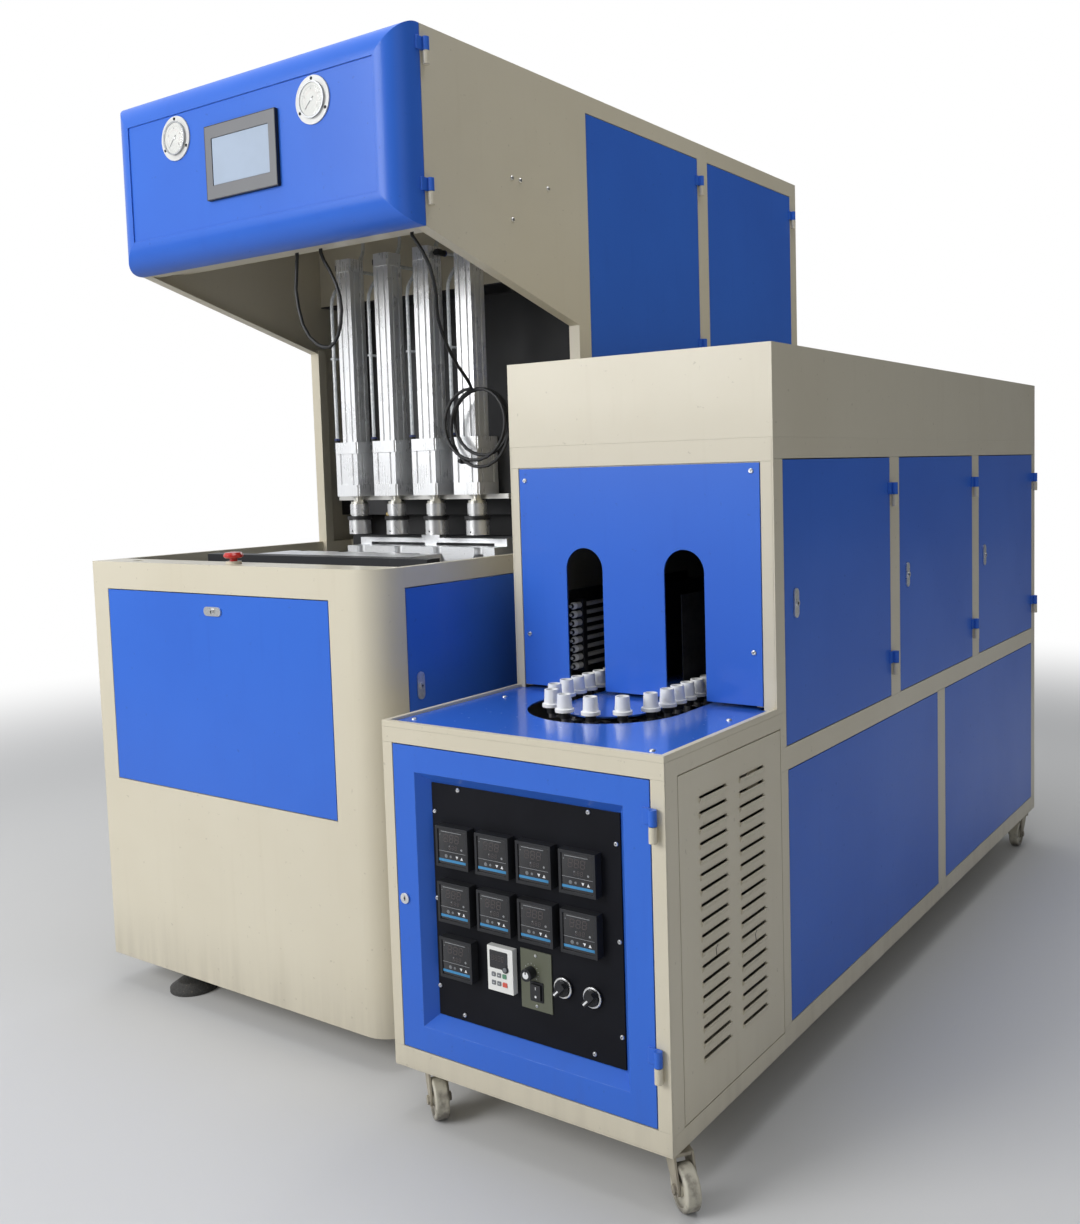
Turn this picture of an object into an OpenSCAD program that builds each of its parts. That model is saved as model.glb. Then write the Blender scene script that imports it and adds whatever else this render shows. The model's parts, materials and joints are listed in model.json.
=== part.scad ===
// Four-cavity bottle blow moulding machine: a blow unit with a hinged head cover,
// and beside it the preform heater, a carrier chain that runs through an oven.
// Both units are drawn in their own corner frames and then set out round the middle of the pair.
// All sizes are in millimetres: X to the right, Y to the back, Z up, and the floor is at Z = 0.

/* [Arrangement] */
// Gap between the blow unit and the heater
unit_gap = 96; // [60:1:300]
// How far the blow unit's front stands behind the heater's front
setback = 98; // [40:1:300]

/* [Sheet metal] */
// Thickness of the folded sheet of both cabinets
sheet = 3; // [2:0.5:4]
// Width of the folded edge behind each door and cover
fold = 24; // [20:1:32]
// Gap round each door and cover
reveal = 2; // [1.5:0.5:4]
// Depth of the folded pan of a door
pan_depth = 18; // [12:1:20]

/* [Blow unit] */
// Width of the blow unit
unit_w = 923; // [860:1:1100]
// Depth of the blow unit, front to back
unit_l = 1945; // [1800:5:2200]
// Height of the underside above the floor
unit_clear = 70; // [50:1:120]
// Height of the desk
desk_h = 1018; // [980:1:1060]
// Radius of the desk's right front corner
desk_corner_r = 75; // [40:1:90]
// Depth of the desk's front ledge
ledge_d = 80; // [60:1:110]
// Width of the folded rim along the desk's sides
rim_w = 18; // [14:1:26]
// Distance from the desk's front to the head's posts
post_y = 710; // [690:1:740]
// Width of each post's face
post_w = 30; // [24:1:36]
// Depth of each post
post_d = 28; // [22:1:36]
// Height of the bottom edge of the head at the posts
slant_low_z = 1545; // [1480:1:1620]
// Height of the head's front
head_front_h = 395; // [340:1:430]
// Distance from the desk's front to the front edge of the head's side plates
head_y = 182; // [150:1:240]
// Height of the whole blow unit
unit_h = 2092; // [1980:1:2200]
// Distance from the desk's front to the panel behind the upper cylinders
back_panel_y = 754; // [746:1:800]
// Height of that panel's lower edge
back_panel_z = 1680; // [1620:1:1720]

/* [Desk covers] */
// Left edge of the front cover, from the desk's left side
front_cover_x = 57; // [40:1:90]
// Width of the front cover
front_cover_w = 729; // [600:1:740]
// Height of the lower edge of both desk covers
cover_low_z = 507; // [400:1:600]
// How far the front cover's upper edge lies below the desk's top
front_cover_drop = 65; // [48:1:110]
// Front edge of the side cover, from the desk's front
side_cover_y = 80; // [78:1:140]
// Length of the side cover
side_cover_l = 515; // [400:1:530]
// How far the side cover's upper edge lies below the desk's top
side_cover_drop = 43; // [35:1:110]

/* [Head cover] */
// Depth of the hinged head cover
cover_d = 68; // [66:1:90]
// Radius of its rounded edges
cover_r = 60; // [40:1:64]
// Margin of the embossed field on its face
emboss_margin = 66; // [64:1:90]
// Width of the touch screen's bezel
screen_w = 230; // [180:1:260]
// Height of the touch screen's bezel
screen_h = 160; // [120:1:180]
// Diameter of each pressure gauge's flange
gauge_d = 98; // [80:1:110]
// Distance of each gauge from the middle of the cover
gauge_x = 223; // [180:1:280]
// Height of the gauges above the cover's lower edge
gauge_z = 276; // [240:1:290]
// Height of the touch screen's middle above the cover's lower edge
screen_z = 200; // [160:1:230]

/* [Head doors] */
// Length of a head door
head_door_l = 540; // [480:1:545]
// Post between the two head doors
head_door_post = 60; // [50:1:80]
// Height of the head doors' lower edge
head_door_low = 1440; // [1430:1:1500]
// How far their upper edge lies below the roof
head_door_drop = 45; // [34:1:140]

/* [Blowing cylinders] */
// Number of cavities
cavities = 4; // [2:1:4]
// Distance between cavities
pitch = 135; // [126:1:150]
// Distance from the desk's front to the row of nozzles
nozzle_y = 618; // [616:1:622]
// Height of the nozzle's mouth
nozzle_z = 1048; // [1042:1:1056]
// Diameter of a nozzle
nozzle_d = 57; // [44:1:64]
// Height of the plate that the cylinders stand on
bench_z = 1136; // [1130:1:1150]
// Thickness of that plate
bench_t = 12; // [8:1:16]
// Width of a sealing cylinder's body
seal_w = 82; // [74:1:90]
// Height of a sealing cylinder
seal_h = 141; // [130:1:160]
// Bore of a sealing cylinder
seal_bore = 63; // [50:1:66]
// Width of a stretching cylinder's body
slim_w = 50; // [44:1:56]
// Height of a stretching cylinder
slim_h = 474; // [440:1:500]
// Bore of a stretching cylinder
slim_bore = 36; // [32:1:40]
// Diameter of a stretching rod
rod_d = 12; // [8:1:14]
// Travel of the nozzles down to the moulds
seal_stroke = 28; // [15:1:30]
// Travel of the stretching rods
stretch_stroke = 280; // [200:1:290]

/* [Moulds and clamp] */
// Width of a mould half
mould_w = 506; // [500:1:560]
// Thickness of a mould half
mould_d = 130; // [110:1:140]
// Height of a mould half
mould_h = 316; // [280:1:340]
// Height of the moulds' top
mould_z = 1016; // [1008:1:1017]
// Travel of the moving platen
clamp_stroke = 196; // [150:1:200]
// Width of both platens
platen_w = 730; // [690:1:760]
// Thickness of both platens
platen_t = 40; // [30:1:45]
// Diameter of a tie bar
tie_d = 40; // [30:1:50]
// Diameter of a bottle's body
bottle_d = 68; // [50:1:90]
// Height of a bottle's body below its neck
bottle_h = 232; // [160:1:250]
// Diameter of the neck opening
neck_d = 28; // [22:1:38]

/* [Heater] */
// Width of the heater
heater_w = 600; // [560:1:720]
// Length of the heater
heater_l = 2240; // [2180:5:2500]
// Height of its frame's underside above the floor
heater_clear = 105; // [100:1:140]
// Height of the frame's edge round the table
table_z = 755; // [720:1:800]
// Depth of the table in front of the oven
tower_y = 403; // [385:1:420]
// Height of the seam under the hood
seam_z = 1250; // [1235:1:1300]
// Height of the hood's top
hood_z = 1420; // [1380:1:1500]
// How far the table plate lies below the frame's edge
table_sink = 5; // [3:1:8]

/* [Control door] */
// Left edge of the control door, from the heater's left side
ctrl_x = 25; // [18:1:40]
// Width of the control door
ctrl_w = 547; // [500:1:550]
// Height of the control door's lower edge
ctrl_low = 147; // [140:1:170]
// Height of the control door's upper edge
ctrl_top = 714; // [680:1:716]
// Margin of the door's sunk field
ctrl_margin = 50; // [40:1:60]
// Depth of the sunk field
ctrl_sink = 25; // [20:1:30]
// Width of the field's slope
ctrl_slope = 20; // [10:1:26]
// Width of a power meter's front
meter_w = 74; // [60:1:76]

/* [Oven] */
// Height of the lower edge of the oven doors
oven_low = 679; // [660:1:700]
// Height of their upper edge
oven_top = 1209; // [1150:1:1222]
// Front edge of the first oven door
oven_y = 443; // [436:1:460]
// Length of an oven door
oven_l = 545; // [500:1:560]
// Post between two oven doors
oven_post = 62; // [50:1:80]
// Radius of each arch
arch_r = 44; // [36:1:50]
// Height of the arches' tops
arch_top = 1044; // [980:1:1080]
// Distance between the two lanes of the chain
lane_gap = 230; // [220:1:240]
// Middle of the two lanes, from the heater's left side
lane_mid = 295; // [290:1:305]
// Pitch of the chain
chain_pitch = 38.1; // [38.1:0.1:38.2]
// Number of teeth of each sprocket
teeth = 12; // [12:1:12]
// Links along one straight run
run_links = 47; // [40:1:50]
// Middle of the front sprocket, from the heater's front
sprocket_y = 312; // [300:1:322]
// Height of the lowest lamp
lamp_low = 794; // [785:1:820]
// Distance between lamps
lamp_pitch = 18; // [15:0.5:20]
// Lamps in one bank
lamps_in_bank = 8; // [4:1:9]

/* [Casters and feet] */
// Diameter of a caster's wheel
wheel_d = 76; // [70:1:80]
// Width of a caster's wheel
wheel_w = 26; // [20:1:30]
// How far the wheel trails behind its swivel
trail = 42; // [34:1:46]
// Distance of a swivel from the frame's sides
caster_inset = 35; // [33:1:60]
// Diameter of a levelling foot
foot_d = 110; // [80:1:130]

/* [Hinges and locks] */
// Diameter of a hinge knuckle
knuckle_d = 14; // [12:1:16]
// Height of one knuckle
knuckle_h = 26; // [20:1:30]
// Diameter of a hinge pin
hinge_pin_d = 8; // [6:0.5:8]
// Height of an oval lock's plate
lock_h = 56; // [46:1:60]
// Width of an oval lock's plate
lock_w = 20; // [16:1:26]

/* [Hidden] */
$fn = 48;

// Colours of the finishes
cream = [0.80, 0.77, 0.69];
blue = [0.16, 0.36, 0.80];
steel = [0.72, 0.73, 0.75];
alloy = [0.84, 0.85, 0.86];
black = [0.06, 0.06, 0.07];
white = [0.93, 0.93, 0.91];

// Radial running clearance of every hinge, shaft and rod
running = 0.08;
// Gap between curved faces of pieces that move past each other
clear_gap = 0.4;

// Small sizes that several pieces share
skin = 2;
hinge_set = knuckle_d / 2 + 3;
cam_depth = fold + 1.5;
cam_t = 3;
lock_shaft_d = 12;
stop_stem_d = 16;
tube_d = 9;
piston_rod_d = rod_d + 7;

// Places in the blow unit, from its left front corner
function cav_x(i) = unit_w / 2 + (i - (cavities - 1) / 2) * pitch;
function top_side(i) = i < cavities / 2 ? -1 : 1;
slant_high_z = unit_h - head_front_h;
front_cover_top = desk_h - front_cover_drop;
side_cover_top = desk_h - side_cover_drop;
head_door_top = unit_h - head_door_drop;
stop_x = unit_w / 2;
stop_y = ledge_d / 2 - 3;
ledge_hole_x = 123;
foot_places = [[200, 70], [unit_w - 200, 320], [200, unit_l - 95], [unit_w - 200, unit_l - 95]];
front_x0 = front_cover_x - reveal;
front_x1 = front_cover_x + front_cover_w + reveal;
front_z0 = cover_low_z - reveal;
front_z1 = front_cover_top + reveal;
side_y0 = side_cover_y - reveal;
side_y1 = side_cover_y + side_cover_l + reveal;
side_z1 = side_cover_top + reveal;
front_lock_x = front_cover_x + front_cover_w / 2 + 9.5;
front_lock_z = front_cover_top - 36;
side_lock_y = side_cover_y + 32;
side_lock_z = 776;
head_door_y = [post_y + 51, post_y + 51 + head_door_l + head_door_post];
head_door_hinge_z = [head_door_low + 90, head_door_top - 71];
cover_hinge_y = head_y - 1 + hinge_set;
cover_hinge_z = [slant_high_z + 68, unit_h - 53];
duct_y = head_y + 70;
duct_z = slant_high_z + 15;
manifold_y = back_panel_y - 27;
manifold_z = 1840;
bench_top = bench_z + bench_t;
bench_y = nozzle_y + 14;
beam_y = back_panel_y + 46;
seal_cap = 30;
seal_floor = 20;
slim_cap = 32;
tube_x = seal_w / 2 + 14;
top_tube_x = (slim_w + 3) / 2 + 12;
seal_ports = [[nozzle_y - 16, bench_top + seal_h - seal_cap / 2], [nozzle_y + 16, bench_top + seal_cap / 2]];
top_port_z = bench_top + seal_h + slim_h - slim_cap / 2;
band_z = bench_top + seal_h + 219;
open_face = nozzle_y - clamp_stroke;
mould_x0 = (unit_w - mould_w) / 2;
platen_low = 640;
platen_back = nozzle_y + mould_d + platen_t;
well_back = platen_back + 14;
platen_x = [(unit_w - platen_w) / 2, (unit_w + platen_w) / 2];
tie_x0 = platen_x[0] + 54;
tie_mid = 820;
tie_z = [tie_mid - 130, tie_mid + 130];
clamp_bore = 125;
clamp_end = platen_back + clamp_stroke + 108;
bed_end = clamp_end + clamp_stroke + 110;

// Free cables, with points chosen along the way that they hang, straight down from the duct's underside
cable_d = 8;
cable_top = duct_z - 0.2;
function below(top, points) = [for (p = points) [p[0], p[1], top - p[2]]];
loop_points = below(cable_top, [[467, 252, 0], [467, 252, 12], [463, 252, 44], [458, 252, 85],
    [464, 252, 127], [476, 252, 166], [496, 252, 195], [522, 252, 214], [541, 252, 221], [560, 252, 222],
    [575, 252, 213], [587, 252, 198], [597, 252, 172], [601, 252, 144], [598, 252, 115], [587, 252, 85],
    [568, 252, 52], [551, 252, 28], [544, 252, 12], [544, 252, 0]]);
coil_centre = [730, 545, bench_top + seal_h + 16];
coil_r = 95;
coil_turns = [[0, 0], [-6, 5], [0, -7.5], [-7, -3]];
// Each point's height is its share of the way from the coil's top up to the duct
coil_top = coil_centre[2] + coil_r + 2;
drop_points = [for (p = [[819, 252, 1], [819, 252, 0.967], [830, 255, 0.914], [841, 260, 0.848],
    [847, 272, 0.761], [841, 290, 0.671], [823, 316, 0.594], [802, 340, 0.523], [786, 362, 0.445],
    [776, 384, 0.361], [768, 408, 0.284], [758, 436, 0.213], [748, 466, 0.148], [740, 496, 0.09],
    [734, 524, 0.039], [730, 545, 0]]) [p[0], p[1], coil_top + p[2] * (cable_top - coil_top)]];

// Places in the heater, from its left front corner
lane_x = [lane_mid - lane_gap / 2, lane_mid + lane_gap / 2];
sprocket_r = chain_pitch / 2 / sin(180 / teeth);
arm = lane_gap / 2 - sprocket_r;
chain_z = 716;
rear_sprocket_y = sprocket_y + run_links * chain_pitch;
deck_top = table_z - table_sink;
// Hairline seam where two panels of the heater, or two tubes of the desk's frame, are welded together
seam = 0.3;
wall_z = heater_clear + sheet + seam;
table_rim = 10;
rim_low = deck_top - 2 * sheet;
louvre_z = [ctrl_low - 9, ctrl_top + 2];
beam_top = chain_z - 44;
beam_low = beam_top - 40;
track_in = 18;
track_out = 43;
shaft_d = 30;
rail_places = [for (i = [0 : 3]) sprocket_y + 388 + i * 400];
beam_places = concat([sprocket_y, rear_sprocket_y], rail_places);
louvres = 18;
louvre_gap = 25.8;
oven_door_y = [for (i = [0 : 2]) oven_y + i * (oven_l + oven_post)];
oven_hinge_z = [oven_low + 73, oven_top - 81];
oven_lock_z = 941;
panel_low = 149;
panel_top = 631;
side_panels = [[oven_y + 5, oven_y + 864], [oven_y + 923, heater_l - 40]];
louvre_y = [41, tower_y + 10];
front_panel = [23, heater_w - 28];
ctrl_hinge_x = ctrl_x + ctrl_w + hinge_set;
ctrl_hinge_z = [ctrl_low + 108, ctrl_top - 70];
ctrl_lock = [ctrl_x + 17, ctrl_low + 282];
field_x = [ctrl_x + ctrl_margin, ctrl_x + ctrl_w - ctrl_margin];
field_z = [ctrl_low + ctrl_margin - 3, ctrl_top - ctrl_margin + 3];
plate_y = ctrl_sink;
meter_x = ctrl_x + 92;
meter_z = ctrl_low + 354;
meter_dx = 90.4;
meter_dz = 102;

function meter_at(r, c) = [meter_x + c * meter_dx, meter_z - r * meter_dz];
keypad_x = [ctrl_x + 198, ctrl_x + 254];
keypad_z = [ctrl_low + 148, ctrl_low + 228];
speed_x = [ctrl_x + 264, ctrl_x + 330];
speed_z = [ctrl_low + 128, ctrl_low + 233];
speed_knob_at = [ctrl_x + 287, ctrl_low + 194];
selectors = [[ctrl_x + 355, ctrl_low + 182], [ctrl_x + 415, ctrl_low + 179]];
lamp_out = 60;
lamp_d = 10;
zone_in = 24;
bush_d = 16;
chain_pin_d = 8;
carrier_z = 745;
fork_top = 92;

// Places of the two units in the common frame
unit_x = -unit_gap - unit_w;
knuckle_out = knuckle_d / 2 + 1;
hinge_out = knuckle_out + knuckle_d / 2;
caster_turn = 37;
tread_round = 4;
wheel_reach = (trail + wheel_d / 2 - tread_round) * cos(caster_turn)
    + (wheel_w / 2 - tread_round) * sin(caster_turn) + tread_round;
right_x = max(heater_w + hinge_out, heater_w - caster_inset + wheel_reach);
mid_x = (unit_x + right_x) / 2;
mid_y = (heater_l - hinge_out) / 2;

// Box between two corners
module block(x0, x1, y0, y1, z0, z1) {
    translate([x0, y0, z0]) cube([x1 - x0, y1 - y0, z1 - z0]);
}

// Places that the blow unit's and the heater's pieces are drawn from
module at_unit() {
    translate([unit_x - mid_x, setback - mid_y, 0]) children();
}
module at_heater() {
    translate([-mid_x, -mid_y, 0]) children();
}

// Flat outline drawn in Y and Z, made into a plate from x0 to x1
module side_plate(x0, x1) {
    translate([x0, 0, 0]) rotate([90, 0, 90]) linear_extrude(x1 - x0) children();
}

// Flat outline drawn in X and Z, made into a plate from y0 to y1
module front_plate(y0, y1) {
    translate([0, y1, 0]) rotate([90, 0, 0]) linear_extrude(y1 - y0) children();
}

// Round bar along Y
module bar_y(x, y0, y1, z, d) {
    translate([x, y0, z]) rotate([-90, 0, 0]) cylinder(d = d, h = y1 - y0);
}

// Round bar along X
module bar_x(x0, x1, y, z, d) {
    translate([x0, y, z]) rotate([0, 90, 0]) cylinder(d = d, h = x1 - x0);
}

// Folded edge round an opening in a side wall, from x0 to x1
module fold_side(x0, x1, y0, y1, z0, z1) {
    difference() {
        block(x0, x1, y0 - sheet, y1 + sheet, z0 - sheet, z1 + sheet);
        block(x0 - 1, x1 + 1, y0, y1, z0, z1);
    }
}

// Folded edge round an opening in a front wall, from y0 to y1
module fold_front(x0, x1, y0, y1, z0, z1) {
    difference() {
        block(x0 - sheet, x1 + sheet, y0, y1, z0 - sheet, z1 + sheet);
        block(x0, x1, y0 - 1, y1 + 1, z0, z1);
    }
}

// Folded pan of a side door whose face is at x
module pan_side(x, y0, y1, z0, z1) {
    difference() {
        block(x - pan_depth, x, y0, y1, z0, z1);
        block(x - pan_depth - 1, x - skin, y0 + skin, y1 - skin, z0 + skin, z1 - skin);
    }
}

// Folded pan of a front door whose face is at Y = 0
module pan_front(x0, x1, z0, z1) {
    difference() {
        block(x0, x1, 0, pan_depth, z0, z1);
        block(x0 + skin, x1 - skin, skin, pan_depth + 1, z0 + skin, z1 - skin);
    }
}

// Hinges: the axis is at the origin, outward is +X and the door lies toward -Y
module fixed_knuckle(z) {
    translate([0, 0, z - knuckle_h - 0.5]) {
        cylinder(d = knuckle_d, h = knuckle_h);
        translate([-knuckle_out, -4, 0]) cube([knuckle_out, 8, knuckle_h]);
        cylinder(d = hinge_pin_d, h = 2 * knuckle_h - 4);
    }
}
module door_knuckle(z) {
    translate([0, 0, z + 0.5]) difference() {
        union() {
            cylinder(d = knuckle_d, h = knuckle_h);
            translate([-knuckle_out + 0.6, -hinge_set - 12, 0]) cube([3.4, hinge_set + 12, knuckle_h]);
            translate([-knuckle_out - 0.5, -hinge_set - 12, 0]) cube([2, 11, knuckle_h]);
        }
        translate([0, 0, -1]) cylinder(d = hinge_pin_d + 2 * running, h = knuckle_h - 3);
    }
}

// Oval lock: outward is +X, the oval and the cam stand upright at rest
module oval(w, h, t) {
    linear_extrude(t) {
        square([h - w, w], center = true);
        for (s = [-1, 1]) translate([s * (h - w) / 2, 0]) circle(d = w);
    }
}
module oval_lock(reach) {
    translate([0.3, 0, 0]) rotate([0, 90, 0]) difference() {
        union() {
            oval(lock_w, lock_h, 3);
            cylinder(d = 13, h = 6);
        }
        translate([-1, -4, 3]) cube([2, 8, 4]);
    }
    bar_x(-cam_depth - cam_t, 0.4, 0, 0, lock_shaft_d);
    translate([-cam_depth - cam_t, -7, -7]) cube([cam_t, 14, reach + 7]);
}

// Hole for a lock's shaft in a side door
module lock_hole_side(x, y, z) {
    bar_x(x - pan_depth, x + 1, y, z, lock_shaft_d + 2 * running);
}

// Desk of the blow unit
module desk_outline(o = 0) {
    r = desk_corner_r;
    translate([o, o]) square([unit_w - r - o, unit_l - 2 * o]);
    translate([o, r]) square([unit_w - 2 * o, unit_l - r - o]);
    translate([unit_w - r, r]) circle(r - o);
}
module well_outline(o = 0) {
    translate([rim_w - o, ledge_d - o]) square([unit_w - 2 * rim_w + 2 * o, post_y - ledge_d - 4 + 2 * o]);
    translate([post_w + 4 - o, ledge_d + 20]) {
        square([unit_w - 2 * post_w - 8 + 2 * o, well_back - ledge_d - 20 + o]);
    }
}
module desk_shell() {
    color(cream) at_unit() difference() {
        union() {
            translate([0, 0, unit_clear]) linear_extrude(desk_h - unit_clear) difference() {
                desk_outline();
                desk_outline(sheet);
            }
            translate([0, 0, unit_clear]) linear_extrude(sheet) desk_outline();
            translate([0, 0, desk_h - sheet]) linear_extrude(sheet) difference() {
                desk_outline();
                well_outline();
            }
            translate([0, 0, desk_h - 30]) linear_extrude(30) difference() {
                well_outline(sheet);
                well_outline();
            }
            fold_front(front_x0, front_x1, 0, fold, front_z0, front_z1);
            fold_side(unit_w - fold, unit_w, side_y0, side_y1, front_z0, side_z1);
            translate([stop_x, stop_y, desk_h]) cylinder(d = 34, h = 6);
        }
        block(front_x0, front_x1, -1, sheet + 1, front_z0, front_z1);
        block(unit_w - sheet - 1, unit_w + 1, side_y0, side_y1, front_z0, side_z1);
        translate([stop_x, stop_y, desk_h - 40]) cylinder(d = stop_stem_d + 2 * running, h = 50);
        translate([ledge_hole_x, ledge_d / 2, desk_h - 10]) cylinder(d = 28, h = 20);
    }
}

// Square tubes of the desk's frame, closed at both ends
module tube_y(x, y0, y1, z, s = 60) {
    difference() {
        block(x - s / 2, x + s / 2, y0, y1, z, z + s);
        block(x - s / 2 + 4, x + s / 2 - 4, y0 + 4, y1 - 4, z + 4, z + s - 4);
    }
}
module tube_z(x, y, z0, z1, s = 60) {
    difference() {
        block(x - s / 2, x + s / 2, y - s / 2, y + s / 2, z0, z1);
        block(x - s / 2 + 4, x + s / 2 - 4, y - s / 2 + 4, y + s / 2 - 4, z0 + 4, z1 - 4);
    }
}
module desk_frame() {
    z0 = unit_clear + sheet;
    post_x = [26, unit_w - 26];
    color(cream) at_unit() {
        for (x = [tie_x0, unit_w - tie_x0]) {
            tube_y(x, 60, unit_l - 60, z0);
            tube_y(x, 150, bed_end, platen_low - 60);
            for (y = [190, platen_back - 20, bed_end - 40]) {
                tube_z(x, y, z0 + 60 + seam, platen_low - 60 - seam);
            }
        }
        for (y = [120, unit_l - 120]) {
            block(tie_x0 + 30 + seam, unit_w - tie_x0 - 30 - seam, y - 30, y + 30, z0, z0 + 60);
        }
        for (x = [26, front_x1 + 26]) tube_z(x, 26, z0, desk_h - sheet, 40);
        for (x = post_x, y = [well_back + 30, unit_l - 26]) tube_z(x, y, z0, desk_h - sheet, 40);
    }
}

module desk_covers() {
    color(blue) at_unit() {
        difference() {
            pan_front(front_cover_x, front_cover_x + front_cover_w, cover_low_z, front_cover_top);
            bar_y(front_lock_x, -1, pan_depth, front_lock_z, lock_shaft_d + 2 * running);
        }
        for (x = [front_cover_x + 60, front_cover_x + front_cover_w - 100]) {
            block(x, x + 40, 4, pan_depth, front_z0, cover_low_z + 1);
        }
        difference() {
            pan_side(unit_w, side_cover_y, side_cover_y + side_cover_l, cover_low_z, side_cover_top);
            lock_hole_side(unit_w, side_lock_y, side_lock_z);
        }
        for (y = [side_cover_y + 60, side_cover_y + side_cover_l - 100]) {
            block(unit_w - pan_depth, unit_w - 4, y, y + 40, front_z0, cover_low_z + 1);
        }
    }
}

module levelling_feet() {
    color(black) at_unit() for (p = foot_places) translate([p[0], p[1], 0]) {
        rotate_extrude() polygon([[0, 0], [foot_d / 2, 0], [foot_d / 2, 8], [foot_d / 2 - 20, 22], [18, 26],
            [12, 26], [12, unit_clear - 14], [20, unit_clear - 14], [20, unit_clear], [0, unit_clear]]);
    }
}

// Head of the blow unit
module head_outline() {
    polygon([[head_y, unit_h], [head_y, slant_high_z], [post_y, slant_low_z], [post_y, desk_h],
        [unit_l, desk_h], [unit_l, unit_h]]);
}
module head_shell() {
    top = unit_h - sheet;
    color(cream) at_unit() {
        side_plate(0, sheet) head_outline();
        difference() {
            side_plate(unit_w - sheet, unit_w) head_outline();
            for (y = head_door_y) block(unit_w - 5, unit_w + 1, y - reveal, y + head_door_l + reveal,
                head_door_low - reveal, head_door_top + reveal);
        }
        for (y = head_door_y) fold_side(unit_w - fold, unit_w, y - reveal, y + head_door_l + reveal,
            head_door_low - reveal, head_door_top + reveal);
        block(0, unit_w, head_y, unit_l, top, unit_h);
        block(0, unit_w, unit_l - sheet, unit_l, desk_h, unit_h);
        // Folded edges of the side plates and of the front
        for (x = [sheet, unit_w - sheet - 25]) {
            side_plate(x, x + 25) polygon([[head_y, slant_high_z], [post_y, slant_low_z],
                [post_y, slant_low_z + sheet], [head_y, slant_high_z + sheet]]);
            block(x, x + 25, head_y, head_y + sheet, slant_high_z, unit_h);
        }
        block(0, unit_w, head_y, head_y + sheet, top - 25, unit_h);
        block(0, unit_w, head_y, head_y + 25, slant_high_z, slant_high_z + sheet);
        // Posts
        for (x = [[0, post_w], [unit_w - post_w, unit_w]]) {
            block(x[0], x[1], post_y, post_y + sheet, desk_h, slant_low_z + 10);
        }
        block(post_w - sheet, post_w, post_y, post_y + post_d, desk_h, slant_low_z + 10);
        block(unit_w - post_w, unit_w - post_w + sheet, post_y, post_y + post_d, desk_h, slant_low_z + 10);
        // Panel behind the cylinders and the cable duct
        block(0, unit_w, back_panel_y, back_panel_y + sheet, back_panel_z, unit_h);
        difference() {
            block(0, unit_w, duct_y - 30, duct_y + 30, duct_z, duct_z + 50);
            block(-1, unit_w + 1, duct_y - 28, duct_y + 28, duct_z + 2, duct_z + 48);
        }
        // Manifold that the air tubes end in
        difference() {
            block(0, unit_w, manifold_y - 15, back_panel_y, manifold_z, manifold_z + 30);
            bar_x(sheet, unit_w - sheet, manifold_y, manifold_z + 15, 18);
        }
    }
}

module cylinder_bench() {
    x0 = cav_x(0) - seal_w / 2 - 48;
    x1 = unit_w - x0;
    wall_y = nozzle_y + seal_w / 2;
    door_x = unit_w - fold - 1;
    door_low = head_door_low - 2 * sheet - reveal;
    color(black) at_unit() {
        difference() {
            block(x0, x1, bench_y, beam_y, bench_z, bench_z + bench_t);
            for (i = [0 : cavities - 1]) translate([cav_x(i), nozzle_y, bench_z - 1]) {
                cylinder(d = piston_rod_d + 8, h = bench_t + 2);
            }
        }
        block(x0, x1, wall_y, wall_y + bench_t, bench_z, bench_top + seal_h);
        for (x = [x0, unit_w / 2 - 5, x1 - 10]) side_plate(x, x + 10) polygon([
            [wall_y + bench_t - 1, bench_top - 1], [beam_y + 1, bench_top - 1],
            [wall_y + bench_t - 1, bench_top + seal_h]]);
        difference() {
            block(sheet, unit_w - sheet, beam_y, beam_y + 80, bench_z - 46, bench_z + 34);
            block(sheet + 8, unit_w - sheet - 8, beam_y + 5, beam_y + 75, bench_z - 41, bench_z + 29);
        }
        // Screen that closes off the machine room
        block(sheet, unit_w - sheet, beam_y + 80, beam_y + 83, desk_h, door_low);
        block(sheet, door_x, beam_y + 80, beam_y + 83, door_low - 1, back_panel_z);
        block(sheet, door_x, back_panel_y, beam_y + 83, back_panel_z - sheet, back_panel_z);
    }
}

// Sealing cylinder below, stretching cylinder on top of it
module seal_profile(w) {
    difference() {
        square(w, center = true);
        for (a = [0 : 90 : 270]) rotate(a) for (s = [-1, 1]) {
            translate([s * w * 0.28, w / 2]) square([5, 8], center = true);
        }
    }
}
module slim_profile() {
    difference() {
        square(slim_w, center = true);
        for (a = [0 : 90 : 270]) rotate(a) for (s = [-1, 1]) {
            translate([s * 11, slim_w / 2]) square([5, 7], center = true);
        }
    }
}
module square_cap(w, h) {
    linear_extrude(h) difference() {
        square(w, center = true);
        for (a = [0 : 90 : 270]) rotate(a) translate([w / 2, w / 2]) circle(4);
    }
}
module cylinder_pair() {
    difference() {
        union() {
            square_cap(seal_w, seal_cap);
            translate([0, 0, seal_cap]) linear_extrude(seal_h - 2 * seal_cap) seal_profile(seal_w - 4);
            translate([0, 0, seal_h - seal_cap]) square_cap(seal_w, seal_cap);
            translate([0, 0, seal_h]) linear_extrude(slim_h - slim_cap) slim_profile();
            translate([0, 0, seal_h + slim_h - slim_cap]) square_cap(slim_w + 3, slim_cap);
        }
        translate([0, 0, -1]) cylinder(d = piston_rod_d + 2 * running, h = seal_cap + 2);
        translate([0, 0, seal_floor]) cylinder(d = seal_bore, h = seal_h - seal_floor - 12);
        translate([0, 0, seal_h - 20]) cylinder(d = rod_d + 2 * running, h = 40);
        translate([0, 0, seal_h + 12]) cylinder(d = slim_bore, h = slim_h - 24);
    }
}
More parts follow.
